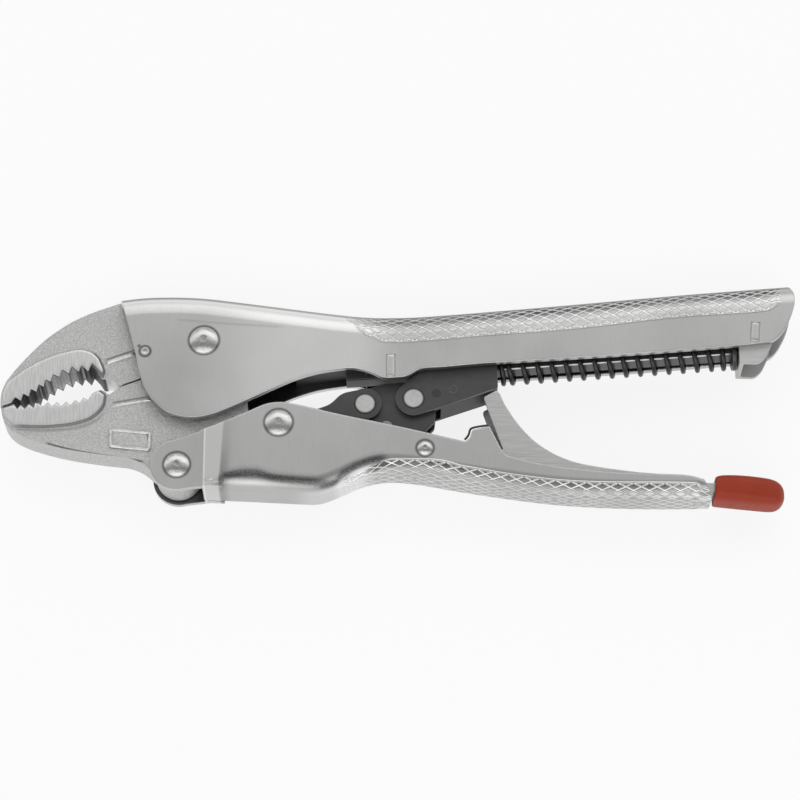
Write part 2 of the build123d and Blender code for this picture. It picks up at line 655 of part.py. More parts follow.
with BuildPart() as slider_pin:
    disc(slider_pivot, flush_pin_radius, -link_outer - pin_proud, link_outer + pin_proud)
finish(slider_pin, "slider_pin")

# Brake pawl: a plate round the rod, which tilts on its pin to grip it
with BuildPart() as brake_pawl:
    pawl_x, pawl_y = pawl_pivot[0] / share, pawl_pivot[1] / share
    pawl_reach = pawl_thickness / 2 / share
    pawl_tall = [(pawl_x - pawl_reach, pawl_y, 0), (pawl_x + pawl_reach, pawl_y, 0),
                 (pawl_x + pawl_reach, pawl_top_share, 0), (pawl_x - pawl_reach, pawl_top_share, 0)]
    slab(pawl_tall, -link_inner + side_gap, link_inner - side_gap)
    disc(pawl_pivot, pawl_pin_radius + pawl_thickness / 2, -link_inner + side_gap,
         link_inner - side_gap)
    with BuildSketch(on_rod(pawl_x - 2 * past)) as pawl_slot:
        Rectangle(rod_width + 2 * rod_slot_play, rod_height + 2 * pawl_play)
    extrude(pawl_slot.sketch, amount=4 * overrun, mode=Mode.SUBTRACT)
    disc(pawl_pivot, pawl_pin_radius + running_gap, -link_inner, link_inner, mode=Mode.SUBTRACT)
finish(brake_pawl, "brake_pawl")

with BuildPart() as pawl_pin:
    disc(pawl_pivot, pawl_pin_radius, -link_outer, link_outer)
finish(pawl_pin, "pawl_pin")

# Guide rod, the block that holds its front end, the spring's seat and the rear bracket
rod_start = on_rod(rod_from[0] / share - past)
rod_length = (rod_to_share - rod_from[0] / share + past) * share / cos(rod_slope)
with BuildPart() as guide_rod:
    with BuildSketch(rod_start) as rod_section:
        RectangleRounded(rod_width, rod_height, rod_edge_round)
    extrude(rod_section.sketch, amount=rod_length)
finish(guide_rod, "guide_rod")

with BuildPart() as front_block:
    slab(block_shares, -upper_inner / 2, upper_inner / 2)
    add(guide_rod.part, mode=Mode.SUBTRACT)
finish(front_block, "front_block")

with BuildPart() as spring_seat:
    with BuildSketch(on_rod(seat_share)) as seat_face:
        Circle(coil_outer / 2)
        Rectangle(rod_width + 2 * rod_slot_play, rod_height + 2 * rod_slot_play,
                  mode=Mode.SUBTRACT)
    extrude(seat_face.sketch, amount=seat_washer)
finish(spring_seat, "spring_seat")

with BuildPart() as rear_bracket:
    slab(bracket_shares, -upper_inner / 2, upper_inner / 2)
    add(hole_of(bracket_hollow_shares, -upper_inner / 2 + bracket_sheet,
                upper_inner / 2 - bracket_sheet), mode=Mode.SUBTRACT)
    add(guide_rod.part, mode=Mode.SUBTRACT)
finish(rear_bracket, "rear_bracket")

# Main spring: one wire wound round the rod, each half turn two arcs
coil_middle = (coil_outer - wire) / 2
coil_start = on_rod(slider_back_share + (wire / 2 + seat_gap) / share)
coil_span = (seat_share - slider_back_share) * share / cos(rod_slope) - wire - 2 * seat_gap
close_rise = wire + coil_air


def coil_rise(turns):
    """Distance along the rod after so many turns, close at both ends and even between."""
    open_turns = coil_turns - 2 * close_turns
    open_pitch = (coil_span - 2 * close_turns * close_rise) / open_turns
    if turns < close_turns:
        return turns * close_rise
    if turns < coil_turns - close_turns:
        return close_turns * close_rise + (turns - close_turns) * open_pitch
    return coil_span - (coil_turns - turns) * close_rise


def coil_point(turns):
    angle = 2 * pi * turns
    return coil_start.from_local_coords(
        (coil_middle * cos(angle), coil_middle * sin(angle), coil_rise(turns)))


def coil_heading(turns):
    step = 1 / length_shares / 10
    before = coil_point(max(turns - step, 0))
    after = coil_point(min(turns + step, coil_turns))
    return (after - before).normalized()


def add_biarc(start, start_way, end, end_way):
    """Two arcs that leave along one direction and arrive along another."""
    run = end - start
    both_ways = start_way + end_way
    squared = both_ways.dot(both_ways) - 4
    mixed = -2 * run.dot(both_ways)
    reach = (-mixed - (mixed * mixed - 4 * squared * run.dot(run)) ** 0.5) / (2 * squared)
    meet = (start + start_way * reach + end - end_way * reach) * (1 / 2)
    first = TangentArc(start, meet, tangent=start_way)
    TangentArc(meet, end, tangent=first % 1)


half_steps = int(round(coil_turns * 4))
with BuildLine() as coil_path:
    coil_in = coil_point(0) - coil_heading(0) * wire
    Line(coil_in, coil_point(0))
    for step in range(half_steps):
        here = step / 4
        there = (step + 1) / 4
        add_biarc(coil_point(here), coil_heading(here), coil_point(there), coil_heading(there))
    Line(coil_point(coil_turns), coil_point(coil_turns) + coil_heading(coil_turns) * wire)

with BuildPart() as main_spring:
    with BuildSketch(Plane(origin=coil_in, z_dir=coil_heading(0))) as wire_section:
        Circle(wire / 2)
    sweep(wire_section.sketch, path=coil_path.wire())
finish(main_spring, "main_spring")
marks_per_turn = 24
coil_marks = [coil_point(index / marks_per_turn)
              for index in range(int(coil_turns * marks_per_turn) + 1)]
coil_gap = min((coil_marks[index] - coil_marks[index + lap]).length
               for lap in range(marks_per_turn - 4, marks_per_turn + 5)
               for index in range(len(coil_marks) - lap)) - wire
print("main spring least gap to itself", round(coil_gap, 2))

# Release lever: a channel with its spine up, a tongue at the back
with BuildPart() as release_lever:
    slab(lever_shares, -lever_half, lever_half)
    slab(lever_root_shares, -lever_half, lever_half)
    disc(lever_pivot, lever_eye_radius, -lever_half, lever_half)
    add(hole_of(lever_hollow_shares, -lever_half + lever_sheet, lever_half - lever_sheet),
        mode=Mode.SUBTRACT)
    slab(tongue_outline_shares, -tongue_width / 2, tongue_width / 2)
    disc(lever_pivot, small_rivet_radius + running_gap, -lever_half, lever_half,
         mode=Mode.SUBTRACT)
finish(release_lever, "release_lever")

with BuildPart() as lever_sleeve:
    slab(sleeve_shares, -sleeve_half, sleeve_half)
    fillet([edge for edge in lever_sleeve.edges()
            if abs(abs(edge.center().Z - half_depth) - sleeve_half) < running_gap], sleeve_round)
    add(hole_of(tongue_outline_shares, -tongue_width / 2, tongue_width / 2), mode=Mode.SUBTRACT)
finish(lever_sleeve, "lever_sleeve")

# Release spring: a bent wire hooked on the handle's tab, and its coil on the lever rivet
with BuildPart() as release_spring:
    hook_points = [side.from_local_coords((row[0] * share, row[1] * share, row[2] * share))
                   for row in hook_shares]
    with BuildLine() as hook_path:
        FilletPolyline(*hook_points, radius=hook_wire)
    with BuildSketch(Plane(origin=hook_path.line @ 0, z_dir=hook_path.line % 0)) as hook_section:
        Circle(hook_wire / 2)
    sweep(hook_section.sketch, path=hook_path.wire())
    disc(lever_pivot, lever_coil_radius + hook_wire, -lever_coil_half, lever_coil_half)
    disc(lever_pivot, lever_coil_radius, -lever_coil_half, lever_coil_half, mode=Mode.SUBTRACT)
finish(release_spring, "release_spring")

# Grip pressure screw and its trunnion nut, on a line that points at the stop bush
screw_way = radians(screw_rise)
screw_tip = stop_bush_radius + seat_gap
trunnion_centre = (stop_pivot[0] - trunnion_along * cos(screw_way),
                   stop_pivot[1] - trunnion_along * sin(screw_way))
screw_plane = Plane(
    origin=side.from_local_coords((stop_pivot[0] - screw_tip * cos(screw_way),
                                   stop_pivot[1] - screw_tip * sin(screw_way), 0)),
    x_dir=(0, 0, 1), z_dir=(-cos(screw_way), -sin(screw_way), 0))
with BuildPart() as pressure_screw:
    with BuildSketch(screw_plane) as screw_section:
        Circle(screw_radius)
    extrude(screw_section.sketch, amount=screw_length)
    with BuildSketch(screw_plane.offset(screw_length)) as screw_head:
        Circle(screw_head_radius)
        with PolarLocations(screw_head_radius, head_flutes):
            Circle(flute_radius, mode=Mode.SUBTRACT)
    extrude(screw_head.sketch, amount=screw_head_length)
    with BuildSketch(screw_plane.offset(screw_length + screw_head_length - slot_depth)) as slot:
        Rectangle(slot_width, 2 * screw_head_radius + overrun)
    extrude(slot.sketch, amount=2 * slot_depth, mode=Mode.SUBTRACT)
finish(pressure_screw, "pressure_screw")

with BuildPart() as trunnion_nut:
    disc(trunnion_centre, trunnion_radius, -lower_inner / 2, lower_inner / 2)
    with BuildSketch(screw_plane) as nut_bore:
        Circle(screw_radius + running_gap)
    extrude(nut_bore.sketch, amount=screw_length, mode=Mode.SUBTRACT)
finish(trunnion_nut, "trunnion_nut")
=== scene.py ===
"""Looks of the self-adjusting pliers: the finishes of its nodes and the pieces laid over them."""
import math

import bmesh
import bpy
import numpy as np
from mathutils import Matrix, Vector


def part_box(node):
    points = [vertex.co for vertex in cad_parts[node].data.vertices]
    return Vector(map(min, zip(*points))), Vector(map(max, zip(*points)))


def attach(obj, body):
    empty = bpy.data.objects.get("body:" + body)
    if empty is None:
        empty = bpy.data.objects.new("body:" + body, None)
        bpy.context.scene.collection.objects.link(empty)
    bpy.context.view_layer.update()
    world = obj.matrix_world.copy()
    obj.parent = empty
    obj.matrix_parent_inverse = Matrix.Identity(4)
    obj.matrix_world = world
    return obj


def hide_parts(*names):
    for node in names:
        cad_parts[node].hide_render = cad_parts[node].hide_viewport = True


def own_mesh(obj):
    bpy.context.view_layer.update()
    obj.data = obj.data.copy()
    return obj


bl_info = {
    "name": "Self-adjusting pliers",
    "version": (1, 0, 0),
    "blender": (4, 5, 0),
    "location": "3D View > Sidebar > Pliers",
    "description": "Dresses a pair of self-adjusting pliers and lights them",
    "category": "Object",
}

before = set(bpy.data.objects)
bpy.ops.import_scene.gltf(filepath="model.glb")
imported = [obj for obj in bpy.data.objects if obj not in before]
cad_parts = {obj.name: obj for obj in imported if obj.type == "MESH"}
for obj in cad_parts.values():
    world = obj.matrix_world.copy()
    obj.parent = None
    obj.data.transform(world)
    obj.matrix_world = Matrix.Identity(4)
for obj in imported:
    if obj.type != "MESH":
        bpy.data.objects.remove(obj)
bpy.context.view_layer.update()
MM = 0.001

# Places are in mm as seen from the side. The middle of the jaw rivet ties them to the frame.
JAW_PIVOT = (-62.4, 16.7)
PIVOT_LOW, PIVOT_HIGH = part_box("jaw_rivet")
ORIGIN = np.array((PIVOT_LOW + PIVOT_HIGH) / 2) - np.array((*JAW_PIVOT, 0)) * MM
WALL = float(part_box("fixed_handle")[1].z - ORIGIN[2]) / MM
LEVER_PIVOT = (8.1, -19.9)
ROD_SLOPE = math.radians(4.2)
ROD_WAY = np.array((math.cos(ROD_SLOPE), math.sin(ROD_SLOPE), 0))
ROD_START = (-14.0, 6.68)
SLIDER_BACK, SEAT_FRONT = 31.4, 106.6

# Boundaries of the grips, and where the grips start, are full, fade and end
UPPER_GRIP = [(-60, 30), (-17.1, 24.8), (-12.9, 20.6), (-8.1, 17.7), (-2.0, 16.2), (10.8, 16.9),
              (25.8, 18.4), (51.4, 20.4), (91.1, 25.0), (117.3, 27.1), (122.4, 30.3), (130, 33)]
LOWER_GRIP = [(-60, -36), (-15.8, -31.2), (-8.0, -26.4), (0.2, -23.9), (7.1, -23.9), (20.6, -26.3),
              (41.0, -29.8), (57.8, -31.4), (92.7, -31.9), (95.9, -34.3), (130, -38)]
GRIP_RUN = (-17.6, -16.8, 121.8, 122.6)

# Painted shade along the folds and pressed lines of the handles, a painted highlight along the
# lower handle's bulge, and a spot of painted shade on the fan
FAN_CREASE = [(-73.2, 24.0), (-58.7, 22.7), (-47.8, 21.9), (-36.0, 21.2)]
VALLEY = [(-59.6, -33.2), (-52.6, -28.7), (-47.2, -28.1), (-39.0, -29.9), (-28.2, -31.1),
          (-23.1, -31.6), (-18.1, -28.6), (-13.1, -25.8), (-8.0, -23.9), (-3.0, -23.1)]
BULGE = [(-34.0, -35.6), (-28.0, -35.8), (-22.5, -34.6), (-18.1, -31.8), (-13.1, -28.8),
         (-7.0, -26.6)]
NOTCH = [(-62.0, -34.4), (-59.5, -35.4), (-56.6, -36.6)]
FAN_DOT = (-83.0, 14.7, 0.15)

# Pressed marks on the upper walls: place, bottom, top, and how far the top leans
WALL_MARKS = ((-2.75, 4.1, 12.0, 0.0), (113.4, 16.3, 23.0, 0.6))

# The step where the lower handle draws in to its ears, marked by a painted highlight and painted
# shade: left edge, right edge at the top, how much the right edge leans, and the top
JOGGLE = (-61.5, -55.4, 0.06, -10.9)

# Lines of painted shade and raised lines on the forged jaws, the pads' depth under the wall, the
# teeth's line as a slope and a height, and where the teeth's painted shade and the throat's
# painted reflection behind them start, are full, fade and end
UPPER_RIB = [(-94.2, 11.3), (-90.0, 12.9), (-84.0, 15.0)]
LOWER_RIB = [(-91.6, -3.3), (-86.0, -2.3), (-79.0, -1.0)]
PAD_FOOT = [(-122.0, -12.1), (-112.6, -12.6), (-103.0, -11.9), (-97.0, -9.7), (-93.9, -7.0)]
JAW_EDGE = [(-112.0, -16.9), (-103.5, -19.2), (-94.6, -20.9), (-86.0, -22.2), (-80.6, -23.2)]
SIZE_FRAME = [(-91.5, -12.4), (-79.1, -13.6), (-79.2, -19.2), (-91.4, -17.9)]
UPPER_RIDGE = [(-93.8, 10.3), (-84.4, 13.6)]
LOWER_RIDGE = [(-91.4, -4.4), (-79.0, -2.1)]
JAW_FACE = 5.3
PAD_SET_IN = 2.8
TOOTH_LINE = (0.455, 53.9)
TEETH_RUN = (-123.6, -123.0, -94.0, -93.2)
THROAT_RUN = (-94.0, -93.2, -88.6, -87.8)

# A painted highlight along the slider's lower edge, and painted shade in its dimple
SLIDER_EDGE = [(8.5, -6.7), (14.0, -4.9), (22.0, -2.0), (30.5, 1.2)]
DIMPLE = (11.8, -0.2, 1.2)

# The main coil: gap to slider and seat, rise of each closed end turn, and points to a turn
COIL_GAP = 0.3
COIL_END_RISE = 2.2
COIL_POINTS = 40

# The release spring's hook, and the radius, turns, start and rise of its coil
HOOK = [(20.6, -16.8, 8.2), (22.0, -15.4, 8.2), (22.3, -12.9, 8.2), (28.0, -11.9, 8.2),
        (28.0, -11.6, 0.0), (24.0, -17.35, 0.0), (14.0, -17.35, 0.0), (8.1, -17.35, -2.3)]
HOOK_COIL = (2.55, 4, -2.3, 1.15)

# The sleeve from its open end to its tip, the shares of its length where rings lie, the share
# where it starts to close, how square its section and its tip are, and its top and bottom lines
SLEEVE_ENDS = (99.3, 121.6)
SLEEVE_RINGS = (0, 0.0, 0.012, 0.04, 0.1, 0.2, 0.32, 0.45, 0.58, 0.7, 0.78, 0.85, 0.9, 0.94,
                0.97, 0.988, 0.997, 1.0)
SLEEVE_RIM = (0.80, 0.90, 0.965)
SLEEVE_CLOSING = 0.74
SLEEVE_SQUARE, TIP_SQUARE = 3.4, 2.6
SLEEVE_TOP = [(99, -27.6), (102, -26.9), (108, -27.0), (114, -27.7), (119, -28.6), (122, -29.2)]
SLEEVE_BOTTOM = [(99, -35.2), (106, -36.1), (114, -36.9), (119, -37.4), (122, -37.3)]

# The studio: shares of the way from the back horizon over the top to the front one with their
# grey levels, and the heights between which mirrors stop seeing white
STUDIO_BANDS = [(0.0, 0.26), (0.06, 0.28), (0.11, 0.45), (0.17, 0.85), (0.23, 1.0), (0.30, 0.90),
                (0.36, 0.46), (0.42, 0.40), (0.56, 0.14), (0.64, 0.18), (0.72, 0.60),
                (0.80, 0.95), (0.88, 0.75), (1.0, 0.5)]
WHITE_UP_TO = (0.03, 0.07)
WHITE = (1, 1, 1, 1)
FLOOR_HALF = 4.0
CAMERA_TARGET = (0.19, -0.27)

# Each lamp has its place, its size and its share of the key lamp's power
LAMPS = {"key": ((-0.1, -0.95, 0.95), 1.2, 1.0), "back": ((0.25, 1.0, 0.85), 1.1, 0.5)}

DOMED_RIVETS = ("jaw_rivet", "ear_rivet", "link_rivet", "lever_rivet", "jaw_stake_pin")
FLUSH_PINS = ("crank_pin", "slider_pin")


class PliersMetal(bpy.types.PropertyGroup):
    """Colours and textures of the metal pieces."""
    nickel: bpy.props.FloatVectorProperty(
        name="Nickel", description="Colour of the plated handles", subtype="COLOR", size=3,
        default=(0.51, 0.51, 0.505), min=0, max=1)
    forging: bpy.props.FloatVectorProperty(
        name="Forging", description="Colour of the rough jaws", subtype="COLOR", size=3,
        default=(0.57, 0.57, 0.565), min=0, max=1)
    ground: bpy.props.FloatVectorProperty(
        name="Ground pad", description="Colour of the jaws' ground pads", subtype="COLOR", size=3,
        default=(0.66, 0.66, 0.655), min=0, max=1)
    black: bpy.props.FloatVectorProperty(
        name="Black oxide", description="Colour of links, crank and slider", subtype="COLOR",
        size=3, default=(0.075, 0.075, 0.075), min=0, max=1)
    wire: bpy.props.FloatVectorProperty(
        name="Spring wire", description="Colour of the dark spring wire", subtype="COLOR", size=3,
        default=(0.05, 0.05, 0.05), min=0, max=1)
    lever: bpy.props.FloatVectorProperty(
        name="Lever", description="Colour of the release lever", subtype="COLOR", size=3,
        default=(0.51, 0.51, 0.505), min=0, max=1)
    diamond_long: bpy.props.FloatProperty(
        name="Diamond length", description="Length of one diamond of the grip, in mm",
        default=4.9, min=2, max=10)
    diamond_wide: bpy.props.FloatProperty(
        name="Diamond width", description="Width of one diamond of the grip, in mm",
        default=3.2, min=1, max=8)


class PliersSprings(bpy.types.PropertyGroup):
    """Sizes of the wound springs."""
    wire: bpy.props.FloatProperty(
        name="Wire", description="Wire diameter of the main spring", default=1.6 * MM,
        unit="LENGTH", min=0.0005, max=0.003, precision=5)
    coil: bpy.props.FloatProperty(
        name="Coil", description="Diameter of the main spring at the wire's middle",
        default=9.2 * MM, unit="LENGTH", min=0.004, max=0.02, precision=5)
    turns: bpy.props.FloatProperty(
        name="Turns", description="Turns of the main spring", default=17.0, min=4, max=40)
    hook_wire: bpy.props.FloatProperty(
        name="Hook wire", description="Wire diameter of the release spring", default=0.7 * MM,
        unit="LENGTH", min=0.0003, max=0.002, precision=5)


class PliersSleeve(bpy.types.PropertyGroup):
    """The dipped sleeve on the lever's tail."""
    colour: bpy.props.FloatVectorProperty(
        name="Colour", description="Colour of the vinyl", subtype="COLOR", size=3,
        default=(0.31, 0.038, 0.016), min=0, max=1)
    half_width: bpy.props.FloatProperty(
        name="Half width", description="Half the sleeve's width across the tool",
        default=6.6 * MM, unit="LENGTH", min=0.004, max=0.01, precision=5)


class PliersStage(bpy.types.PropertyGroup):
    """Camera and light."""
    distance: bpy.props.FloatProperty(
        name="Distance", description="From the camera to the tool", default=1.0, unit="LENGTH",
        min=0.3, max=4)
    elevation: bpy.props.FloatProperty(
        name="Elevation", description="Angle of the camera above the floor",
        default=math.radians(69), subtype="ANGLE", min=0, max=math.pi / 2)
    view_width: bpy.props.FloatProperty(
        name="View width", description="Width that the picture covers at the tool",
        default=0.256, unit="LENGTH", min=0.1, max=1)
    floor_colour: bpy.props.FloatVectorProperty(
        name="Floor", description="Colour of the floor", subtype="COLOR", size=3,
        default=(0.90, 0.90, 0.90), min=0, max=1)
    floor_glow: bpy.props.FloatProperty(
        name="Floor glow", description="Share of plain white in the floor as the camera sees it",
        default=0.85, subtype="FACTOR", min=0, max=1)
    key_power: bpy.props.FloatProperty(
        name="Key lamp", description="Power of the large soft lamp", default=4.5, unit="POWER",
        min=0, max=200)


def seen(x, y, z=0.0):
    """Point at x, y as seen from the side and z from the middle plane, in mm, put in metres."""
    x, y, z = np.broadcast_arrays(np.asarray(x, float), y, z)
    return np.stack((x, y, z), -1) * MM + ORIGIN


def on_rod(x, lift=0.0):
    """Point on the rod's middle line at x, lifted by so much, in mm as seen from the side."""
    return x, ROD_START[1] + (x - ROD_START[0]) * math.tan(ROD_SLOPE) + lift


def unit(vectors):
    """Vectors divided by their lengths."""
    return vectors / np.linalg.norm(vectors, axis=-1, keepdims=True)


def grid_faces(rows, columns, start):
    """Quads of a grid whose rows close on themselves, and a many-sided face at each end."""
    index = np.arange(rows * columns).reshape(rows, columns) + start
    across = np.roll(index, -1, 1)
    quads = np.stack((index[:-1], across[:-1], across[1:], index[1:]), -1).reshape(-1, 4).tolist()
    return quads + [index[0, ::-1].tolist(), index[-1].tolist()]


def make_piece(name, grids, body, finish, replaced=()):
    """Joins grids of points into one mesh, turns its faces outwards and lets it ride on a body."""
    points, faces = [], []
    start = 0
    for grid in grids:
        rows, columns = grid.shape[:2]
        points.append(grid.reshape(-1, 3))
        faces += grid_faces(rows, columns, start)
        start += rows * columns
    mesh = bpy.data.meshes.new(name)
    mesh.from_pydata(np.concatenate(points).tolist(), [], faces)
    shell = bmesh.new()
    shell.from_mesh(mesh)
    bmesh.ops.recalc_face_normals(shell, faces=shell.faces)
    shell.to_mesh(mesh)
    shell.free()
    mesh.shade_smooth()
    mesh.materials.append(finish)
    piece = bpy.data.objects.new(name, mesh)
    bpy.context.collection.objects.link(piece)
    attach(piece, body)
    if replaced:
        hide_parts(*replaced)
    return piece


def tube(path, radius, sides, upright):
    """Circle carried along a path, turned square to it by a vector that the path never follows.
    Each end is closed by two steps in, so that it stays crisp."""
    way = unit(np.gradient(path, axis=0))
    across = unit(np.cross(way, upright))
    over = np.cross(way, across)
    turn = np.linspace(0, 2 * np.pi, sides, endpoint=False)
    ring = across[:, None] * np.cos(turn)[:, None] + over[:, None] * np.sin(turn)[:, None]
    path, ring = (np.concatenate((row[:1], row[:1], row, row[-1:], row[-1:]))
                  for row in (path, ring))
    radii = np.full(len(path), radius)
    radii[[0, -1]] = 0.5 * radius
    radii[[1, -2]] = 0.96 * radius
    return path[:, None] + ring * radii[:, None, None]


def rounded_path(corners, rounds=3):
    """Path whose corners are cut to a quarter of each run, several times over."""
    path = np.asarray(corners, float)
    for _ in range(rounds):
        early = path[:-1] * 0.75 + path[1:] * 0.25
        late = path[:-1] * 0.25 + path[1:] * 0.75
        inner = np.stack((early, late), 1).reshape(-1, 3)
        path = np.concatenate((path[:1], inner, path[-1:]))
    return path


def ridge(corners, level, side, width, height, fullness=2, taper=1.0, closed=False, steps=60,
          columns=13, sunk=0.05):
    """Raised bar on a flat wall: the height is a share of its full height, one less the distance
    from the middle line to a power, its fullness. It runs out over the taper at both ends."""
    corners = np.asarray(corners, float)
    if closed:
        corners = np.concatenate((corners, corners[:1]))
    runs = np.linalg.norm(np.diff(corners, axis=0), axis=1)
    along = np.concatenate(([0], np.cumsum(runs)))
    reach = np.linspace(0, along[-1], steps)
    line = np.stack([np.interp(reach, along, column) for column in corners.T], -1)
    way = np.gradient(line, axis=0)
    if closed:
        way[[0, -1]] = (way[1] + way[-2]) / 2
    way = unit(way)
    square = np.stack((-way[:, 1], way[:, 0]), -1)
    offset = np.linspace(-1, 1, columns)
    end = 1.0 if closed else np.clip(np.minimum(reach, along[-1] - reach) / taper, 0, 1) ** 0.5
    top = height * (1 - np.abs(offset) ** fullness) * np.reshape(end, (-1, 1))
    flat = line[:, None] + square[:, None] * (offset * width / 2)[None, :, None]
    upper = seen(flat[..., 0], flat[..., 1], side * (level + top))
    under = seen(flat[..., 0], flat[..., 1], side * (level - sunk))
    return np.concatenate((upper, under[:, ::-1]), 1)


def grey(level):
    """Plain grey."""
    return (level, level, level)


def steel(level):
    """Grey of bare metal, a touch less blue."""
    return (level, level, level - 0.01)


def tone(colour, share):
    """A colour made lighter or darker by a share."""
    return tuple(min(1.0, part * share) for part in colour)


class Nodes:
    """A node tree built step by step; each step gives the socket that holds its result."""

    def __init__(self, tree):
        self.tree = tree

    def put(self, socket, value):
        """Links a result to a socket, or sets a plain value on it."""
        if isinstance(value, bpy.types.NodeSocket):
            self.tree.links.new(value, socket)
        else:
            socket.default_value = value

    def make(self, kind, *values, **settings):
        """New node with its settings, and with its first inputs filled in order."""
        node = self.tree.nodes.new("ShaderNode" + kind)
        for name, setting in settings.items():
            setattr(node, name, setting)
        for socket, value in zip(node.inputs, values):
            self.put(socket, value)
        return node

    def sum(self, operation, *values):
        """Result of a plain sum, such as ADD or DIVIDE."""
        return self.make("Math", *values, operation=operation).outputs[0]

    def times(self, first, *others):
        """Product of all the values."""
        for other in others:
            first = self.sum("MULTIPLY", first, other)
        return first

    def largest(self, first, *others):
        """Largest of all the values."""
        for other in others:
            first = self.sum("MAXIMUM", first, other)
        return first

    def less(self, first, second):
        """First value less the second."""
        return self.sum("SUBTRACT", first, second)

    def size(self, value):
        """The value without its sign."""
        return self.sum("ABSOLUTE", value)

    def split(self, socket):
        """The three parts of a vector."""
        return self.make("SeparateXYZ", socket).outputs

    def step(self, value, low, high, to_low=0.0, to_high=1.0, kind="SMOOTHSTEP"):
        """Step from to_low at low to to_high at high."""
        return self.make("MapRange", value, low, high, to_low, to_high,
                         interpolation_type=kind).outputs[0]

    def within(self, value, start, full, fade, end):
        """One between full and fade, none before start or past end."""
        return self.times(self.step(value, start, full), self.step(value, end, fade))

    def show_white(self, share, shade, kind, ending):
        """Lays plain white of a kind of shader over a shade by a share, and ends the tree."""
        white = self.make(kind, WHITE, 1.0)
        mixed = self.make("MixShader", share, shade.outputs[0], white.outputs[0])
        self.put(self.tree.nodes[ending].inputs[0], mixed.outputs[0])

    def looking(self):
        """Share of the camera's own rays, and of those through a mirror or a clear piece."""
        path = self.make("LightPath").outputs
        return (path["Is Camera Ray"],
                self.largest(path["Is Glossy Ray"], path["Is Transmission Ray"]))


class Finish(Nodes):
    """A metal or vinyl finish over x, y and z, the place in mm as seen from the side."""

    def __init__(self, name, metal, rough):
        self.material = bpy.data.materials.new(name)
        self.material.use_nodes = True
        super().__init__(self.material.node_tree)
        self.tree.nodes.clear()
        self.shader = self.make("BsdfPrincipled")
        self.shader.inputs["Metallic"].default_value = metal
        self.shader.inputs["Roughness"].default_value = rough
        self.make("OutputMaterial", self.shader.outputs[0])
        moved = self.vector("SUBTRACT", self.make("TexCoord").outputs["Object"], tuple(ORIGIN))
        self.place = self.vector("SCALE", moved, scale=1 / MM)
        self.x, self.y, self.z = self.split(self.place)
        self.facing = self.make("NewGeometry").outputs["True Normal"]
        self.face_x, self.face_y, self.face_z = self.split(self.facing)

    def vector(self, operation, *values, scale=None):
        """Result of a sum with vectors."""
        node = self.make("VectorMath", *values, operation=operation)
        if scale is not None:
            node.inputs["Scale"].default_value = scale
        return node.outputs[0]

    def mix(self, share, first, second):
        """From the first colour to the second by a share."""
        node = self.make("Mix", share, data_type="RGBA")
        for socket, colour in ((node.inputs[6], first), (node.inputs[7], second)):
            self.put(socket, colour if isinstance(colour, bpy.types.NodeSocket) else (*colour, 1))
        return node.outputs[2]

    def paint(self, colour, tint, *shares):
        """The colour with a tint over it, by the product of the shares."""
        return self.mix(self.times(*shares), colour, tint)

    def mottle(self, share, colour, dark, light):
        """The colour, from darker to lighter by a share."""
        return self.mix(share, tone(colour, dark), tone(colour, light))

    def noise(self, per_mm, detail=2.0, stretch=(1, 1, 1), rough=0.5):
        """Cloudy pattern from 0 to 1; a stretch under one draws it out along that direction."""
        node = self.make("TexNoise", self.vector("MULTIPLY", self.place, tuple(stretch)))
        for name, value in (("Scale", per_mm), ("Detail", detail), ("Roughness", rough)):
            node.inputs[name].default_value = value
        return node.outputs[0]

    def line_through(self, table):
        """Height of a line through the table's points, read at x."""
        table = np.asarray(table, float)
        low, high = table.min(0), table.max(0)
        node = self.make("FloatCurve")
        curve = node.mapping.curves[0]
        places = (table - low) / (high - low)
        while len(curve.points) < len(places):
            curve.points.new(0.5, 0.5)
        for point, (across, up) in zip(curve.points, places):
            point.location = (across, up)
            point.handle_type = "AUTO_CLAMPED"
        node.mapping.update()
        share = self.step(self.x, float(low[0]), float(high[0]), kind="LINEAR")
        self.put(node.inputs["Value"], share)
        return self.sum("MULTIPLY_ADD", node.outputs[0], float(high[1] - low[1]), float(low[1]))

    def away_from(self, x, y):
        """Distance from a point as seen from the side."""
        across, up = self.less(self.x, x), self.less(self.y, y)
        return self.sum("SQRT", self.sum("MULTIPLY_ADD", across, across, self.times(up, up)))

    def round_edges(self, radius):
        """Normal that turns smoothly over each edge within the radius, in mm."""
        return self.make("Bevel", radius * MM, samples=6).outputs[0]

    def edge(self, rounded, strength):
        """Share of wear and of painted highlight, one at an edge and none on a flat."""
        alike = self.make("VectorMath", rounded, self.facing, operation="DOT_PRODUCT")
        return self.step(alike.outputs["Value"], 1.0, 1.0 - strength)

    def cover(self, colour, rough, height, depth, normal=None):
        """Gives the shader its colour and roughness, and a bump of the height over a normal."""
        node = self.make("Bump", 1.0)
        node.inputs["Distance"].default_value = depth * MM
        self.put(node.inputs["Height"], height)
        if normal is not None:
            self.put(node.inputs["Normal"], normal)
        for name, value in (("Base Color", colour), ("Roughness", rough),
                            ("Normal", node.outputs[0])):
            self.put(self.shader.inputs[name], value)
        return self.material


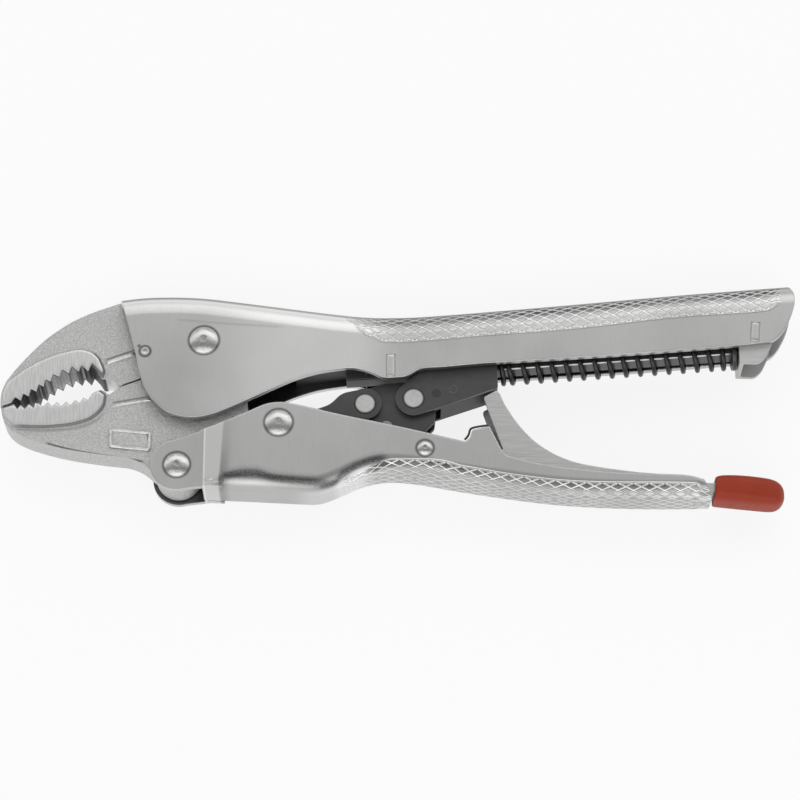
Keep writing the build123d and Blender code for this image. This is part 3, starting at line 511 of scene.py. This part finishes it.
def grip_height(finish, table, facing, metal):
    """Diamond lattice of raised lines past a boundary: how raised, how deep inside the grip, the
    rim on the boundary, and the way from it round the fold. The lines are where a sum and a
    difference of the two directions pass a whole number."""
    down = finish.times(finish.less(finish.y, finish.line_through(table)), facing)
    across = finish.sum("ADD", down, finish.less(WALL, finish.size(finish.z)))
    run = finish.within(finish.x, *GRIP_RUN)
    outward = finish.step(finish.times(finish.face_z, finish.z), -2.0, -1.0)
    spine_out = finish.step(finish.times(finish.face_y, facing), -0.4, -0.2)
    inside = finish.times(finish.step(across, 0.0, 0.3), run, outward, spine_out)
    long_share = finish.sum("DIVIDE", finish.x, metal.diamond_long)
    wide_share = finish.sum("DIVIDE", across, metal.diamond_wide)
    slant = math.hypot(1 / metal.diamond_long, 1 / metal.diamond_wide)
    lines = []
    for operation in ("ADD", "SUBTRACT"):
        away = finish.sum("PINGPONG", finish.sum(operation, long_share, wide_share), 0.5)
        lines.append(finish.step(away, 0.5 * slant, 0.1 * slant))
    rim = finish.times(finish.step(finish.size(across), 0.55, 0.15), run)
    return finish.largest(*lines), inside, rim, across


def lay_grip(finish, metal, table, facing, colour, rough, height):
    """Lays the diamond grip over a colour, a roughness and a height, with painted shade in the
    sunk diamonds and a painted highlight on the raised lines and rim. The upper grip has a painted
    highlight at its edge and painted shade round the fold; the lower one has a row of painted
    shade and then a row of painted highlight."""
    raised, inside, rim, across = grip_height(finish, table, facing, metal)
    sunk = finish.times(finish.less(1.0, raised), inside)
    if facing > 0:
        lit = finish.step(across, 4.6, 2.0, 0.0, 0.5)
        shade = finish.step(across, 3.4, 8.5, 0.0, 0.92)
        plain = inside
    else:
        lit = finish.times(finish.within(across, 3.6, 4.6, 6.2, 7.6),
                           finish.step(finish.x, 30.0, 95.0, 0.15, 0.8))
        shade = finish.times(finish.step(across, 4.4, 2.0),
                             finish.step(finish.x, 92.0, 80.0, 0.3, 1.0))
        plain = finish.times(inside, finish.sum("MULTIPLY_ADD", lit, -0.8, 1.0))
    # Painted highlight on the raised lines and the rim.
    bright = finish.largest(finish.times(raised, plain), rim)
    # Painted shade in the sunk diamonds.
    colour = finish.paint(colour, tone(metal.nickel, 0.72), sunk, 0.5)
    # Painted highlight in the lit row.
    colour = finish.paint(colour, steel(0.95), sunk, lit)
    # Painted shade in the shaded rows.
    colour = finish.paint(colour, grey(0.06), sunk, shade)
    colour = finish.paint(colour, steel(0.86), bright, 0.7)
    rough = finish.sum("MULTIPLY_ADD", bright, -0.1, rough)
    height = finish.sum("MULTIPLY_ADD", rim, 0.5, finish.less(height, sunk))
    return colour, rough, height, inside


def light_fold(finish, colour, rounded, inside):
    """Painted highlight along the upper handle's fold, outside the grip, and a painted dark line
    of shade beyond it, both placed by how far the rounded normal has turned up."""
    turned_up = finish.split(rounded)[1]
    # Where the painted highlight lies on the fold.
    crest = finish.times(finish.within(turned_up, 0.22, 0.5, 0.6, 0.75),
                         finish.step(finish.x, 121.5, 119.5, 0.1, 1.0))
    colour = finish.paint(colour, steel(0.97), crest, 0.7, finish.less(1.0, inside))
    # Where the painted dark line of shade lies beyond it.
    brink = finish.times(finish.step(turned_up, 0.64, 0.80),
                         finish.step(turned_up, 1.0, 0.97, 0.3, 1.0))
    return finish.paint(colour, grey(0.12), brink, 0.68)


def shade_joggle(finish, colour, speck, joggle):
    """Painted highlight where a wall steps in, painted speckled shade past it, and a painted light
    line at the crisp left edge.
    """
    left, right, lean, top = joggle
    border = finish.sum("MULTIPLY_ADD", finish.less(finish.y, top), lean, right)
    past = finish.less(finish.x, border)
    # Painted highlight on the wall's step.
    step_highlight = finish.times(finish.step(finish.x, left, left + 0.3), finish.step(past, 0.2, -0.6),
                        finish.step(finish.y, -34.6, -33.0))
    colour = finish.paint(colour, steel(0.78), step_highlight, 0.45)
    # Painted speckled shade past the step.
    shade = finish.times(finish.within(past, -0.4, 0.4, 0.6, 4.0),
                         finish.step(finish.y, -14.0, -28.0, 0.15, 0.6))
    colour = finish.paint(colour, grey(0.14), shade,
                          finish.sum("MULTIPLY_ADD", speck, 0.5, 0.5))
    # Painted light line at the crisp left edge.
    crisp = finish.size(finish.less(finish.x, left))
    return finish.paint(colour, steel(0.88), finish.step(crisp, 0.4, 0.1, 0.0, 0.8))


def trace(finish, table, width, fade=1.6, steep=0.3, past=0.4):
    """Share near a line through the table's points: one on it, none past its width and ends, and
    none on faces steeper than given."""
    away = finish.size(finish.less(finish.y, finish.line_through(table)))
    start, end = table[0][0] - past, table[-1][0] + past
    return finish.times(finish.step(away, width, 0.2 * width),
                        finish.within(finish.x, start, start + fade, end - fade, end),
                        finish.step(finish.size(finish.face_z), steep, steep + 0.3))


def spots(names):
    """Centre and radius of each of the round nodes named, in mm as seen from the side."""
    found = []
    for name in names:
        low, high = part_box(name)
        middle = ((low + high) / 2 - Vector(ORIGIN)) / MM
        found.append((middle.x, middle.y, (high.x - low.x) / 2 / MM))
    return found


def seam(finish, table, wide):
    """Each of the spots and a ring round it, fading outwards."""
    return finish.largest(*(finish.step(finish.less(finish.away_from(x, y), radius),
                                        wide, 0.1 * wide) for x, y, radius in table))


def plated(name, metal, table=None, facing=1.0, shadow_rings=(), painted_folds=(), joggle=None):
    """Satin nickel over pressed steel, with the diamond grip where a boundary is given."""
    finish = Finish(name, 1.0, 0.36)
    cloud = finish.noise(0.09, 3)
    patch = finish.noise(0.035, 2)
    grain = finish.noise(3.2, 2)
    streak = finish.noise(1.4, 3, (1.0, 0.12, 1.0))
    speck = finish.step(finish.noise(2.4, 2, rough=0.7), 0.35, 0.6)
    rounded = finish.round_edges(0.7)
    colour = finish.mottle(cloud, metal.nickel, 0.94, 1.07)
    colour = finish.paint(colour, tone(metal.nickel, 0.9),
                          finish.step(streak, 0.4, 0.75, 0.0, 0.35))
    # Edges lighter: wear, and a painted highlight.
    colour = finish.paint(colour, steel(0.80), finish.edge(rounded, 0.25), 0.6)
    rough = finish.step(grain, 0.2, 0.8, 0.30, 0.42)
    height = finish.sum("ADD", finish.times(grain, 0.06), finish.times(streak, 0.05))
    if table:
        colour, rough, height, inside = lay_grip(finish, metal, table, facing, colour, rough,
                                                 height)
    colour = finish.paint(colour, tone(metal.nickel, 0.78),
                          finish.step(patch, 0.35, 0.7, 0.0, 0.35))
    if facing > 0:
        # Wide painted sheen across the upper handle's middle.
        painted_sheen = finish.within(finish.x, -72.0, -36.0, -16.0, 2.0)
        colour = finish.paint(colour, steel(0.86), painted_sheen, 0.4)
    if table and facing > 0:
        colour = light_fold(finish, colour, rounded, inside)
    # Painted shade on the inner faces of the channel, stronger towards the front.
    inner_shade = finish.step(finish.times(finish.face_z, finish.z), -1.0, -2.5)
    colour = finish.paint(colour, grey(0.07), inner_shade,
                          finish.step(finish.x, 100.0, 70.0, 0.1, 0.8))
    # Painted shade along each dark fold line, and a painted highlight along each light one.
    for line, width, share, level, fade, steep in painted_folds:
        colour = finish.paint(colour, grey(level), trace(finish, line, width, fade, steep), share,
                              finish.sum("MULTIPLY_ADD", speck, 0.4, 0.6))
    if joggle:
        colour = shade_joggle(finish, colour, speck, joggle)
    # Painted shadow in a ring round each given spot.
    if shadow_rings:
        colour = finish.paint(colour, grey(0.10), seam(finish, shadow_rings, 0.8), 0.8)
    return finish.cover(colour, rough, height, 0.22, rounded)


def forged(name, metal, pad_level, teeth=None, lines=()):
    """Rough forged steel, mottled and pitted, with a ground pad above a level from the middle.
    Painted shade lies on the pads' sides, on faces leaning back or down by them, and along given
    lines; the flanks of the teeth below a sloping line get painted shade, and the throat behind
    them a painted white reflection."""
    finish = Finish(name, 1.0, 0.5)
    coarse = finish.noise(0.8, 4, rough=0.65)
    pits = finish.noise(2.6, 3, rough=0.7)
    stripe = finish.noise(2.2, 2, (1.0, 0.08, 1.0))
    rounded = finish.round_edges(1.1)
    level, flatness = finish.size(finish.z), finish.size(finish.face_z)
    pad = finish.step(level, pad_level - 0.25, pad_level - 0.05)
    rough_skin = finish.less(1.0, pad)
    colour = finish.mix(pad, finish.mottle(finish.step(pits, 0.3, 0.7), metal.forging, 0.72, 1.22),
                        finish.mottle(finish.step(stripe, 0.3, 0.7), metal.ground, 0.9, 1.08))
    # Edges lighter: wear, and a painted highlight.
    colour = finish.paint(colour, steel(0.72), finish.edge(rounded, 0.3), 0.5)
    # Painted shade on the pads' side faces.
    colour = finish.paint(colour, grey(0.14), finish.step(flatness, 0.7, 0.3),
                          finish.step(level, pad_level - 1.05, pad_level - 0.9), 0.7)
    # Painted shade on faces near the pad's level that lean towards the handles or face down.
    lean = finish.largest(finish.face_x, finish.times(finish.face_y, -1.0))
    colour = finish.paint(colour, grey(0.17), finish.step(lean, 0.2, 0.5),
                          finish.step(flatness, 0.92, 0.8),
                          finish.step(level, pad_level - 1.0, pad_level - 0.85),
                          finish.step(finish.x, -125.0, -119.0), 0.75)
    # Painted shade along each given line, mottled by the pits.
    for line, width, share in lines:
        colour = finish.paint(colour, grey(0.06), trace(finish, line, width),
                              finish.step(pits, 0.3, 0.55, 0.45 * share, share))
    if teeth:
        slope, height_there = teeth
        steep = finish.step(flatness, 0.5, 0.2)
        above = finish.less(finish.y,
                            finish.sum("MULTIPLY_ADD", finish.x, slope, height_there))
        # Painted shade on the teeth's flanks below their line.
        colour = finish.paint(colour, grey(0.05), steep, finish.step(above, 1.2, 0.4),
                              finish.within(finish.x, *TEETH_RUN), 0.86)
        # Painted white reflection on the throat's walls behind the teeth.
        colour = finish.paint(colour, grey(1.0), steep, finish.within(finish.x, *THROAT_RUN), 0.9)
    rough = finish.sum("MULTIPLY_ADD", rough_skin, 0.16, 0.34)
    height = finish.times(finish.sum("ADD", coarse, finish.times(pits, 0.6)), rough_skin)
    height = finish.sum("MULTIPLY_ADD", stripe, 0.12, height)
    return finish.cover(colour, rough, height, 0.35, rounded)


def blackened(name, metal, shadow_rings):
    """Blackened steel, near matt, with edges rubbed lighter that also carry a painted highlight, a
    painted highlight along the slider's lower edge, and painted shade in its dimple and round the
    pins.
    """
    finish = Finish(name, 0.6, 0.45)
    cloud = finish.noise(0.35, 4)
    grain = finish.noise(4.0, 2)
    rounded = finish.round_edges(0.45)
    colour = finish.mottle(cloud, metal.black, 0.82, 1.18)
    # Edges lighter: wear, and a painted highlight.
    colour = finish.paint(colour, grey(0.36), finish.edge(rounded, 0.3), 0.55)
    # Painted shade in the slider's dimple.
    colour = finish.paint(colour, grey(0.02), seam(finish, [DIMPLE], 0.5), 0.45)
    # Painted highlight along the slider's lower edge.
    colour = finish.paint(colour, grey(0.42), trace(finish, SLIDER_EDGE, 0.45),
                          finish.step(finish.size(finish.z), 4.8, 5.2), 0.6)
    # Painted shadow round each pin.
    colour = finish.paint(colour, grey(0.015), seam(finish, shadow_rings, 0.5))
    return finish.cover(colour, finish.step(grain, 0.2, 0.8, 0.40, 0.56), grain, 0.03, rounded)


def turned(name, colour, rough, mottle, rims=(), dented=False):
    """Bright steel of rivets and pins, with a painted shadow ring at the rim of each, and, where
    dented, a dent in the middle holding painted shade.
    """
    finish = Finish(name, 1.0, rough)
    dents = finish.noise(0.75, 3)
    grain = finish.noise(3.5, 2)
    shade = finish.mottle(finish.step(dents, 0.3, 0.7), colour, 1 - mottle, 1.0)
    for x, y, radius in rims:
        away = finish.away_from(x, y)
        rim = finish.within(away, radius - 0.55, radius - 0.15, radius + 0.2, radius + 0.4)
        # Painted shadow ring at the rim.
        shade = finish.paint(shade, grey(0.10), rim, 0.75)
        if dented:
            # Painted shade in the middle dent.
            middle = finish.step(away, 0.6 * radius, 0.0)
            shade = finish.paint(shade, grey(0.2), middle,
                                 finish.step(dents, 0.35, 0.6, 0.25, 0.8))
            dents = finish.sum("MULTIPLY_ADD", middle, -1.3, dents)
    return finish.cover(shade, finish.step(grain, 0.2, 0.8, rough - 0.05, rough + 0.08),
                        dents, 0.075)


def drawn(name, colour, rough, metalness=1.0, dim=0.0, glint=None):
    """Drawn or rolled steel with fine lines along the rod. Faces towards the jaws get painted
    shade, and a line given as a glint gets a painted white highlight past a level from the middle."""
    finish = Finish(name, metalness, rough)
    lines = finish.noise(3.0, 2, (0.05, 1.0, 1.0))
    rounded = finish.round_edges(0.35)
    shade = finish.mottle(lines, colour, 0.85, 1.15)
    # Edges lighter: wear, and a painted highlight.
    shade = finish.paint(shade, steel(0.75), finish.edge(rounded, 0.3), 0.5)
    # Painted shade on faces towards the jaws.
    if dim:
        shade = finish.paint(shade, grey(0.03), finish.step(finish.face_x, -0.5, -0.8), dim)
    # Painted white highlight along the glint line.
    if glint:
        line, level = glint
        shade = finish.paint(shade, grey(1.0), trace(finish, line, 0.42, steep=-0.3),
                             finish.step(finish.size(finish.z), level - 0.4, level - 0.2))
    return finish.cover(shade, finish.step(lines, 0.2, 0.8, rough - 0.04, rough + 0.08),
                        lines, 0.03, rounded)


def vinyl(name, colour):
    """Dipped vinyl, satin and faintly uneven."""
    finish = Finish(name, 0.0, 0.42)
    cloud = finish.noise(0.16, 3)
    skin = finish.noise(1.1, 2)
    finish.shader.inputs["Specular IOR Level"].default_value = 0.2
    return finish.cover(finish.mottle(cloud, colour, 0.86, 1.14),
                        finish.step(skin, 0.2, 0.8, 0.38, 0.52),
                        finish.sum("MULTIPLY_ADD", cloud, 3.0, skin), 0.05)


def dress(material, *nodes):
    """Gives nodes of the frame their finish."""
    for node in nodes:
        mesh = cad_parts[node].data
        mesh.materials.clear()
        mesh.materials.append(material)


def finish_named(name, maker, *values, **options):
    """The finish of that name, made once; the frame's own materials keep their names."""
    name = "look_" + name
    return bpy.data.materials.get(name) or maker(name, *values, **options)


def dark_wire(metal):
    """Finish that both springs' wires share."""
    return finish_named("spring_wire", drawn, metal.wire, 0.32, 0.9)


class PLIERS_OT_handles(bpy.types.Operator):
    """Plates the two handles, with their diamond grips"""
    bl_idname = "pliers.handles"
    bl_label = "Handles"

    def execute(self, context):
        metal = context.scene.pliers_metal
        # Spots for a painted shadow ring round each rivet, and a painted dark spot on the fan.
        upper_shadow_rings = spots(("jaw_rivet", "jaw_stake_pin")) + [FAN_DOT]
        lower_shadow_rings = spots(("ear_rivet", "lever_rivet", "link_rivet"))
        # Each painted fold line, shade where its grey level is dark and a highlight where it is
        # light, has its line, half width, strength, grey level, fade and least flatness
        upper_painted_folds = ((FAN_CREASE, 0.7, 0.3, 0.25, 5.0, 0.3),)
        lower_painted_folds = ((VALLEY, 3.4, 0.45, 0.16, 4.0, 0.3), (VALLEY, 1.9, 0.85, 0.07, 4.0, 0.3),
                       (BULGE, 2.6, 0.9, 1.0, 7.0, -0.2), (NOTCH, 1.3, 0.95, 0.03, 1.2, -0.2))
        dress(finish_named("upper_nickel", plated, metal, UPPER_GRIP, 1.0, upper_shadow_rings,
                           upper_painted_folds), "fixed_handle")
        dress(finish_named("lower_nickel", plated, metal, LOWER_GRIP, -1.0, lower_shadow_rings,
                           lower_painted_folds, JOGGLE), "lower_handle")
        plain = finish_named("plain_nickel", plated, metal)
        marks = []
        for x, low, high, lean in WALL_MARKS:
            for side in (1, -1):
                marks.append(ridge([(x, low), (x + lean, high)], WALL, side, width=3.0,
                                   height=0.3, fullness=2.6, taper=0.8))
        make_piece("wall_marks", marks, "fixed", plain)
        return {"FINISHED"}


class PLIERS_OT_jaws(bpy.types.Operator):
    """Gives the jaws their forged skin, ground pads and forging lines"""
    bl_idname = "pliers.jaws"
    bl_label = "Jaws"

    def execute(self, context):
        metal = context.scene.pliers_metal
        pad = WALL - PAD_SET_IN
        # Each line of painted shade has its points, half width and strength
        upper_shade_lines = ((UPPER_RIB, 0.5, 0.7),)
        lower_shade_lines = ((LOWER_RIB, 0.45, 0.65), (PAD_FOOT, 0.8, 0.3), (JAW_EDGE, 0.6, 0.85))
        dress(finish_named("upper_forging", forged, metal, pad, TOOTH_LINE, upper_shade_lines),
              "fixed_jaw")
        dress(finish_named("lower_forging", forged, metal, pad, lines=lower_shade_lines), "lower_jaw")
        # The raised forging lines are lighter, ground-like steel, brightened further as a painted
        # highlight.
        rough = finish_named("forging_lines", turned, steel(0.74), 0.42, 0.3)
        upper, lower = [], []
        for side in (1, -1):
            upper.append(ridge(UPPER_RIDGE, JAW_FACE, side, width=1.6, height=0.75, taper=1.5))
            lower.append(ridge(LOWER_RIDGE, JAW_FACE, side, width=1.1, height=0.5, taper=1.5))
        lower.append(ridge(SIZE_FRAME, JAW_FACE + 0.3, 1, width=1.15, height=0.4, closed=True))
        make_piece("upper_forging_line", upper, "fixed", rough)
        make_piece("lower_forging_lines", lower, "jaw", rough)
        return {"FINISHED"}


class PLIERS_OT_rivets(bpy.types.Operator):
    """Finishes rivets and pins"""
    bl_idname = "pliers.rivets"
    bl_label = "Rivets and pins"

    def execute(self, context):
        dress(finish_named("rivet_steel", turned, steel(0.62), 0.28, 0.12, spots(DOMED_RIVETS),
                           dented=True), *DOMED_RIVETS)
        dress(finish_named("pin_steel", turned, steel(0.56), 0.42, 0.08, spots(FLUSH_PINS)),
              *FLUSH_PINS, "link_sleeve", "trunnion_nut", "pressure_screw")
        dress(finish_named("dull_steel", turned, grey(0.30), 0.45, 0.2), "stop_bush", "stop_pin")
        return {"FINISHED"}


class PLIERS_OT_linkage(bpy.types.Operator):
    """Blackens links, crank, slider and pawl"""
    bl_idname = "pliers.linkage"
    bl_label = "Linkage"

    def execute(self, context):
        metal = context.scene.pliers_metal
        dress(finish_named("black_oxide", blackened, metal, spots(FLUSH_PINS)), "front_links",
              "crank_plates", "slider", "brake_pawl", "front_block", "pawl_pin", "link_washers")
        return {"FINISHED"}


class PLIERS_OT_main_spring(bpy.types.Operator):
    """Winds the main spring round its rod, and finishes the rod, seat and bracket"""
    bl_idname = "pliers.main_spring"
    bl_label = "Main spring"

    def execute(self, context):
        metal = context.scene.pliers_metal
        springs = context.scene.pliers_springs
        wire, turns = springs.wire, springs.turns
        room = wire / MM + 2 * COIL_GAP
        start = seen(*on_rod(SLIDER_BACK + room / 2))
        span = ((SEAT_FRONT - SLIDER_BACK) / math.cos(ROD_SLOPE) - room) * MM
        close = COIL_END_RISE * MM
        turn = np.linspace(0, turns, int(turns * COIL_POINTS) + 1)
        rise = np.interp(turn, (0, 1, turns - 1, turns), (0, close, span - close, span))
        beside = np.array((0, 0, 1.0))
        over = np.cross(ROD_WAY, beside)
        angle = (2 * np.pi * turn)[:, None]
        path = (start + ROD_WAY * rise[:, None]
                + (beside * np.cos(angle) + over * np.sin(angle)) * springs.coil / 2)
        spring = make_piece("main_coil", [tube(path, wire / 2, 14, ROD_WAY)], "fixed",
                            dark_wire(metal), ("main_spring",))
        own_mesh(spring)
        # Line of the painted highlight along the rod's lower front edge.
        rod_edge = [on_rod(x, -1.3) for x in (33.0, 70.0, 106.0)]
        dress(finish_named("rod_steel", drawn, grey(0.05), 0.34, 0.2, glint=(rod_edge, 3.4)),
              "guide_rod")
        dress(finish_named("seat_steel", drawn, grey(0.08), 0.4), "spring_seat")
        dress(finish_named("bracket_zinc", drawn, metal.nickel, 0.4, 0.6), "rear_bracket")
        return {"FINISHED"}


class PLIERS_OT_release_lever(bpy.types.Operator):
    """Finishes the release lever, bends its wire spring and dips its sleeve"""
    bl_idname = "pliers.release_lever"
    bl_label = "Release lever"

    def execute(self, context):
        metal = context.scene.pliers_metal
        hook_wire = context.scene.pliers_springs.hook_wire
        # The lever's faces towards the jaws get painted shade.
        dress(finish_named("lever_steel", drawn, metal.lever, 0.34, dim=0.85), "release_lever")
        hook = seen(*np.array(HOOK).T)
        bent = [hook[0]]
        for before, here, after in zip(hook[:-2], hook[1:-1], hook[2:]):
            for end in (before, after):
                run = end - here
                bent.append(here + run * min(0.45, hook_wire / np.linalg.norm(run)))
        radius, turns, start, rise = HOOK_COIL
        turn = np.linspace(0, turns, 24 * turns + 1)
        angle = 2 * np.pi * (turn + 0.25)
        wound = seen(LEVER_PIVOT[0] + radius * np.cos(angle),
                     LEVER_PIVOT[1] + radius * np.sin(angle), start + rise * turn)
        path = np.concatenate((rounded_path(bent), wound))
        make_piece("hooked_wire", [tube(path, hook_wire / 2, 10, (0.6, -0.5, 0.62))],
                   "handle", dark_wire(metal), ("release_spring",))
        make_sleeve(context.scene.pliers_sleeve)
        return {"FINISHED"}


def make_sleeve(sleeve):
    """Rounded box carried along the lever's tail: top and bottom lines give its height, and the
    far end draws in as a quarter of a squared-off circle. The open end turns into its own wall."""
    along = np.array(SLEEVE_RINGS)
    closing = np.clip((along - SLEEVE_CLOSING) / (1 - SLEEVE_CLOSING), 0, 1)
    inset = np.maximum(1 - closing ** TIP_SQUARE, 0) ** (1 / TIP_SQUARE)
    inset[:len(SLEEVE_RIM)] *= SLEEVE_RIM
    inset[-1] = 0.02
    x = SLEEVE_ENDS[0] + along * (SLEEVE_ENDS[1] - SLEEVE_ENDS[0])
    x[0] += 0.9
    top, bottom = (np.interp(x, *zip(*table)) for table in (SLEEVE_TOP, SLEEVE_BOTTOM))
    middle, half = (top + bottom) / 2, (top - bottom) / 2
    turn = np.linspace(0, 2 * np.pi, 48, endpoint=False)
    side, up = (np.sign(part) * np.abs(part) ** (2 / SLEEVE_SQUARE)
                for part in (np.cos(turn), np.sin(turn)))
    slant = 0.1 * np.clip((104.0 - x) / 5.0, 0, 1)
    grid = seen(x[:, None] + (slant * half)[:, None] * up,
                middle[:, None] + (half * inset)[:, None] * up,
                (sleeve.half_width / MM * inset)[:, None] * side)
    piece = make_piece("dipped_sleeve", [grid], "lever",
                       finish_named("red_vinyl", vinyl, sleeve.colour),
                       ("lever_sleeve",))
    smooth = piece.modifiers.new("smooth", "SUBSURF")
    smooth.levels = smooth.render_levels = 2


class PLIERS_OT_stage(bpy.types.Operator):
    """Lays the floor, sets the light round the tool and places the camera"""
    bl_idname = "pliers.stage"
    bl_label = "Stage"

    def execute(self, context):
        stage = context.scene.pliers_stage
        self.lay_floor(context, stage)
        self.light_world(context)
        for name, (place, size, share) in LAMPS.items():
            self.hang_lamp(context, name, place, size, stage.key_power * share)
        self.aim_camera(context, stage)
        context.scene.view_settings.view_transform = "Standard"
        return {"FINISHED"}

    def lay_floor(self, context, stage):
        """Pale floor, whitened where a camera, mirror or clear piece looks at it."""
        mesh = bpy.data.meshes.new("floor")
        corners = np.array(((-1, -1, 0), (1, -1, 0), (1, 1, 0), (-1, 1, 0))) * FLOOR_HALF
        mesh.from_pydata(corners.tolist(), [], [(0, 1, 2, 3)])
        floor = bpy.data.objects.new("floor", mesh)
        context.collection.objects.link(floor)
        paper = bpy.data.materials.new("floor_paper")
        paper.use_nodes = True
        nodes = Nodes(paper.node_tree)
        shader = nodes.tree.nodes["Principled BSDF"]
        for name, value in (("Base Color", (*stage.floor_colour, 1)), ("Roughness", 0.9),
                            ("Specular IOR Level", 0.1)):
            shader.inputs[name].default_value = value
        share = nodes.times(nodes.largest(*nodes.looking()), stage.floor_glow)
        nodes.show_white(share, shader, "Emission", "Material Output")
        mesh.materials.append(paper)

    def light_world(self, context):
        """Grey room with bright bands to the front and back, darker between them overhead. The
        camera sees plain white in its place, and so do mirrors and clear pieces low down."""
        world = bpy.data.worlds.new("studio")
        context.scene.world = world
        world.use_nodes = True
        nodes = Nodes(world.node_tree)
        _, back, height = nodes.split(nodes.make("TexCoord").outputs["Generated"])
        over = nodes.step(nodes.sum("ARCTAN2", height, back), 0.0, math.pi, kind="LINEAR")
        ramp = nodes.make("ValToRGB", over)
        stops = ramp.color_ramp.elements
        while len(stops) < len(STUDIO_BANDS):
            stops.new(0.5)
        for stop, (place, level) in zip(stops, STUDIO_BANDS):
            stop.position = place
            stop.color = (*grey(level), 1)
        background = nodes.tree.nodes["Background"]
        nodes.put(background.inputs["Color"], ramp.outputs[0])
        background.inputs["Strength"].default_value = 1.4
        direct, mirrored = nodes.looking()
        low = nodes.step(height, *WHITE_UP_TO, 1.0, 0.0, kind="LINEAR")
        share = nodes.largest(direct, nodes.times(mirrored, low))
        nodes.show_white(share, background, "Background", "World Output")

    def hang_lamp(self, context, name, place, size, power):
        """Soft lamp that looks at the middle of the floor."""
        data = bpy.data.lights.new(name, "AREA")
        data.shape = "RECTANGLE"
        data.size, data.size_y = size * 1.6, size
        data.energy = power
        lamp = bpy.data.objects.new(name, data)
        lamp.location = place
        lamp.rotation_euler = lamp.location.normalized().to_track_quat("Z", "Y").to_euler()
        context.collection.objects.link(lamp)

    def aim_camera(self, context, stage):
        """Camera in front of the tool, as high as the photograph's, with a long lens."""
        data = bpy.data.cameras.new("camera")
        data.sensor_fit = "HORIZONTAL"
        data.sensor_width = 36
        data.lens = data.sensor_width * stage.distance / stage.view_width
        data.clip_start, data.clip_end = 0.01, 20
        camera = bpy.data.objects.new("camera", data)
        away = np.array((0, -math.cos(stage.elevation), math.sin(stage.elevation)))
        camera.location = seen(*CAMERA_TARGET) + away * stage.distance
        camera.rotation_euler = (math.pi / 2 - stage.elevation, 0, 0)
        context.collection.objects.link(camera)
        context.scene.camera = camera


GROUPS = {"pliers_metal": PliersMetal, "pliers_springs": PliersSprings,
          "pliers_sleeve": PliersSleeve, "pliers_stage": PliersStage}
OPERATORS = (PLIERS_OT_handles, PLIERS_OT_jaws, PLIERS_OT_rivets, PLIERS_OT_linkage,
             PLIERS_OT_main_spring, PLIERS_OT_release_lever, PLIERS_OT_stage)


class PLIERS_PT_panel(bpy.types.Panel):
    """Lists the steps and their settings"""
    bl_label = "Pliers"
    bl_idname = "PLIERS_PT_panel"
    bl_space_type = "VIEW_3D"
    bl_region_type = "UI"
    bl_category = "Pliers"

    def draw(self, context):
        for operator in OPERATORS:
            self.layout.operator(operator.bl_idname)
        for name in GROUPS:
            group = getattr(context.scene, name)
            box = self.layout.box()
            for prop in group.__annotations__:
                box.prop(group, prop)


def register():
    """Makes the settings, steps and panel known, and gives the scene its settings."""
    for name, group in GROUPS.items():
        bpy.utils.register_class(group)
        setattr(bpy.types.Scene, name, bpy.props.PointerProperty(type=group))
    for made in (*OPERATORS, PLIERS_PT_panel):
        bpy.utils.register_class(made)


def unregister():
    """Takes away what register made."""
    for made in reversed((*OPERATORS, PLIERS_PT_panel)):
        bpy.utils.unregister_class(made)
    for name, group in reversed(GROUPS.items()):
        delattr(bpy.types.Scene, name)
        bpy.utils.unregister_class(group)


def main():
    """Runs every step in turn."""
    register()
    for operator in OPERATORS:
        group, step = operator.bl_idname.split(".")
        getattr(getattr(bpy.ops, group), step)()


if __name__ == "__main__":
    main()
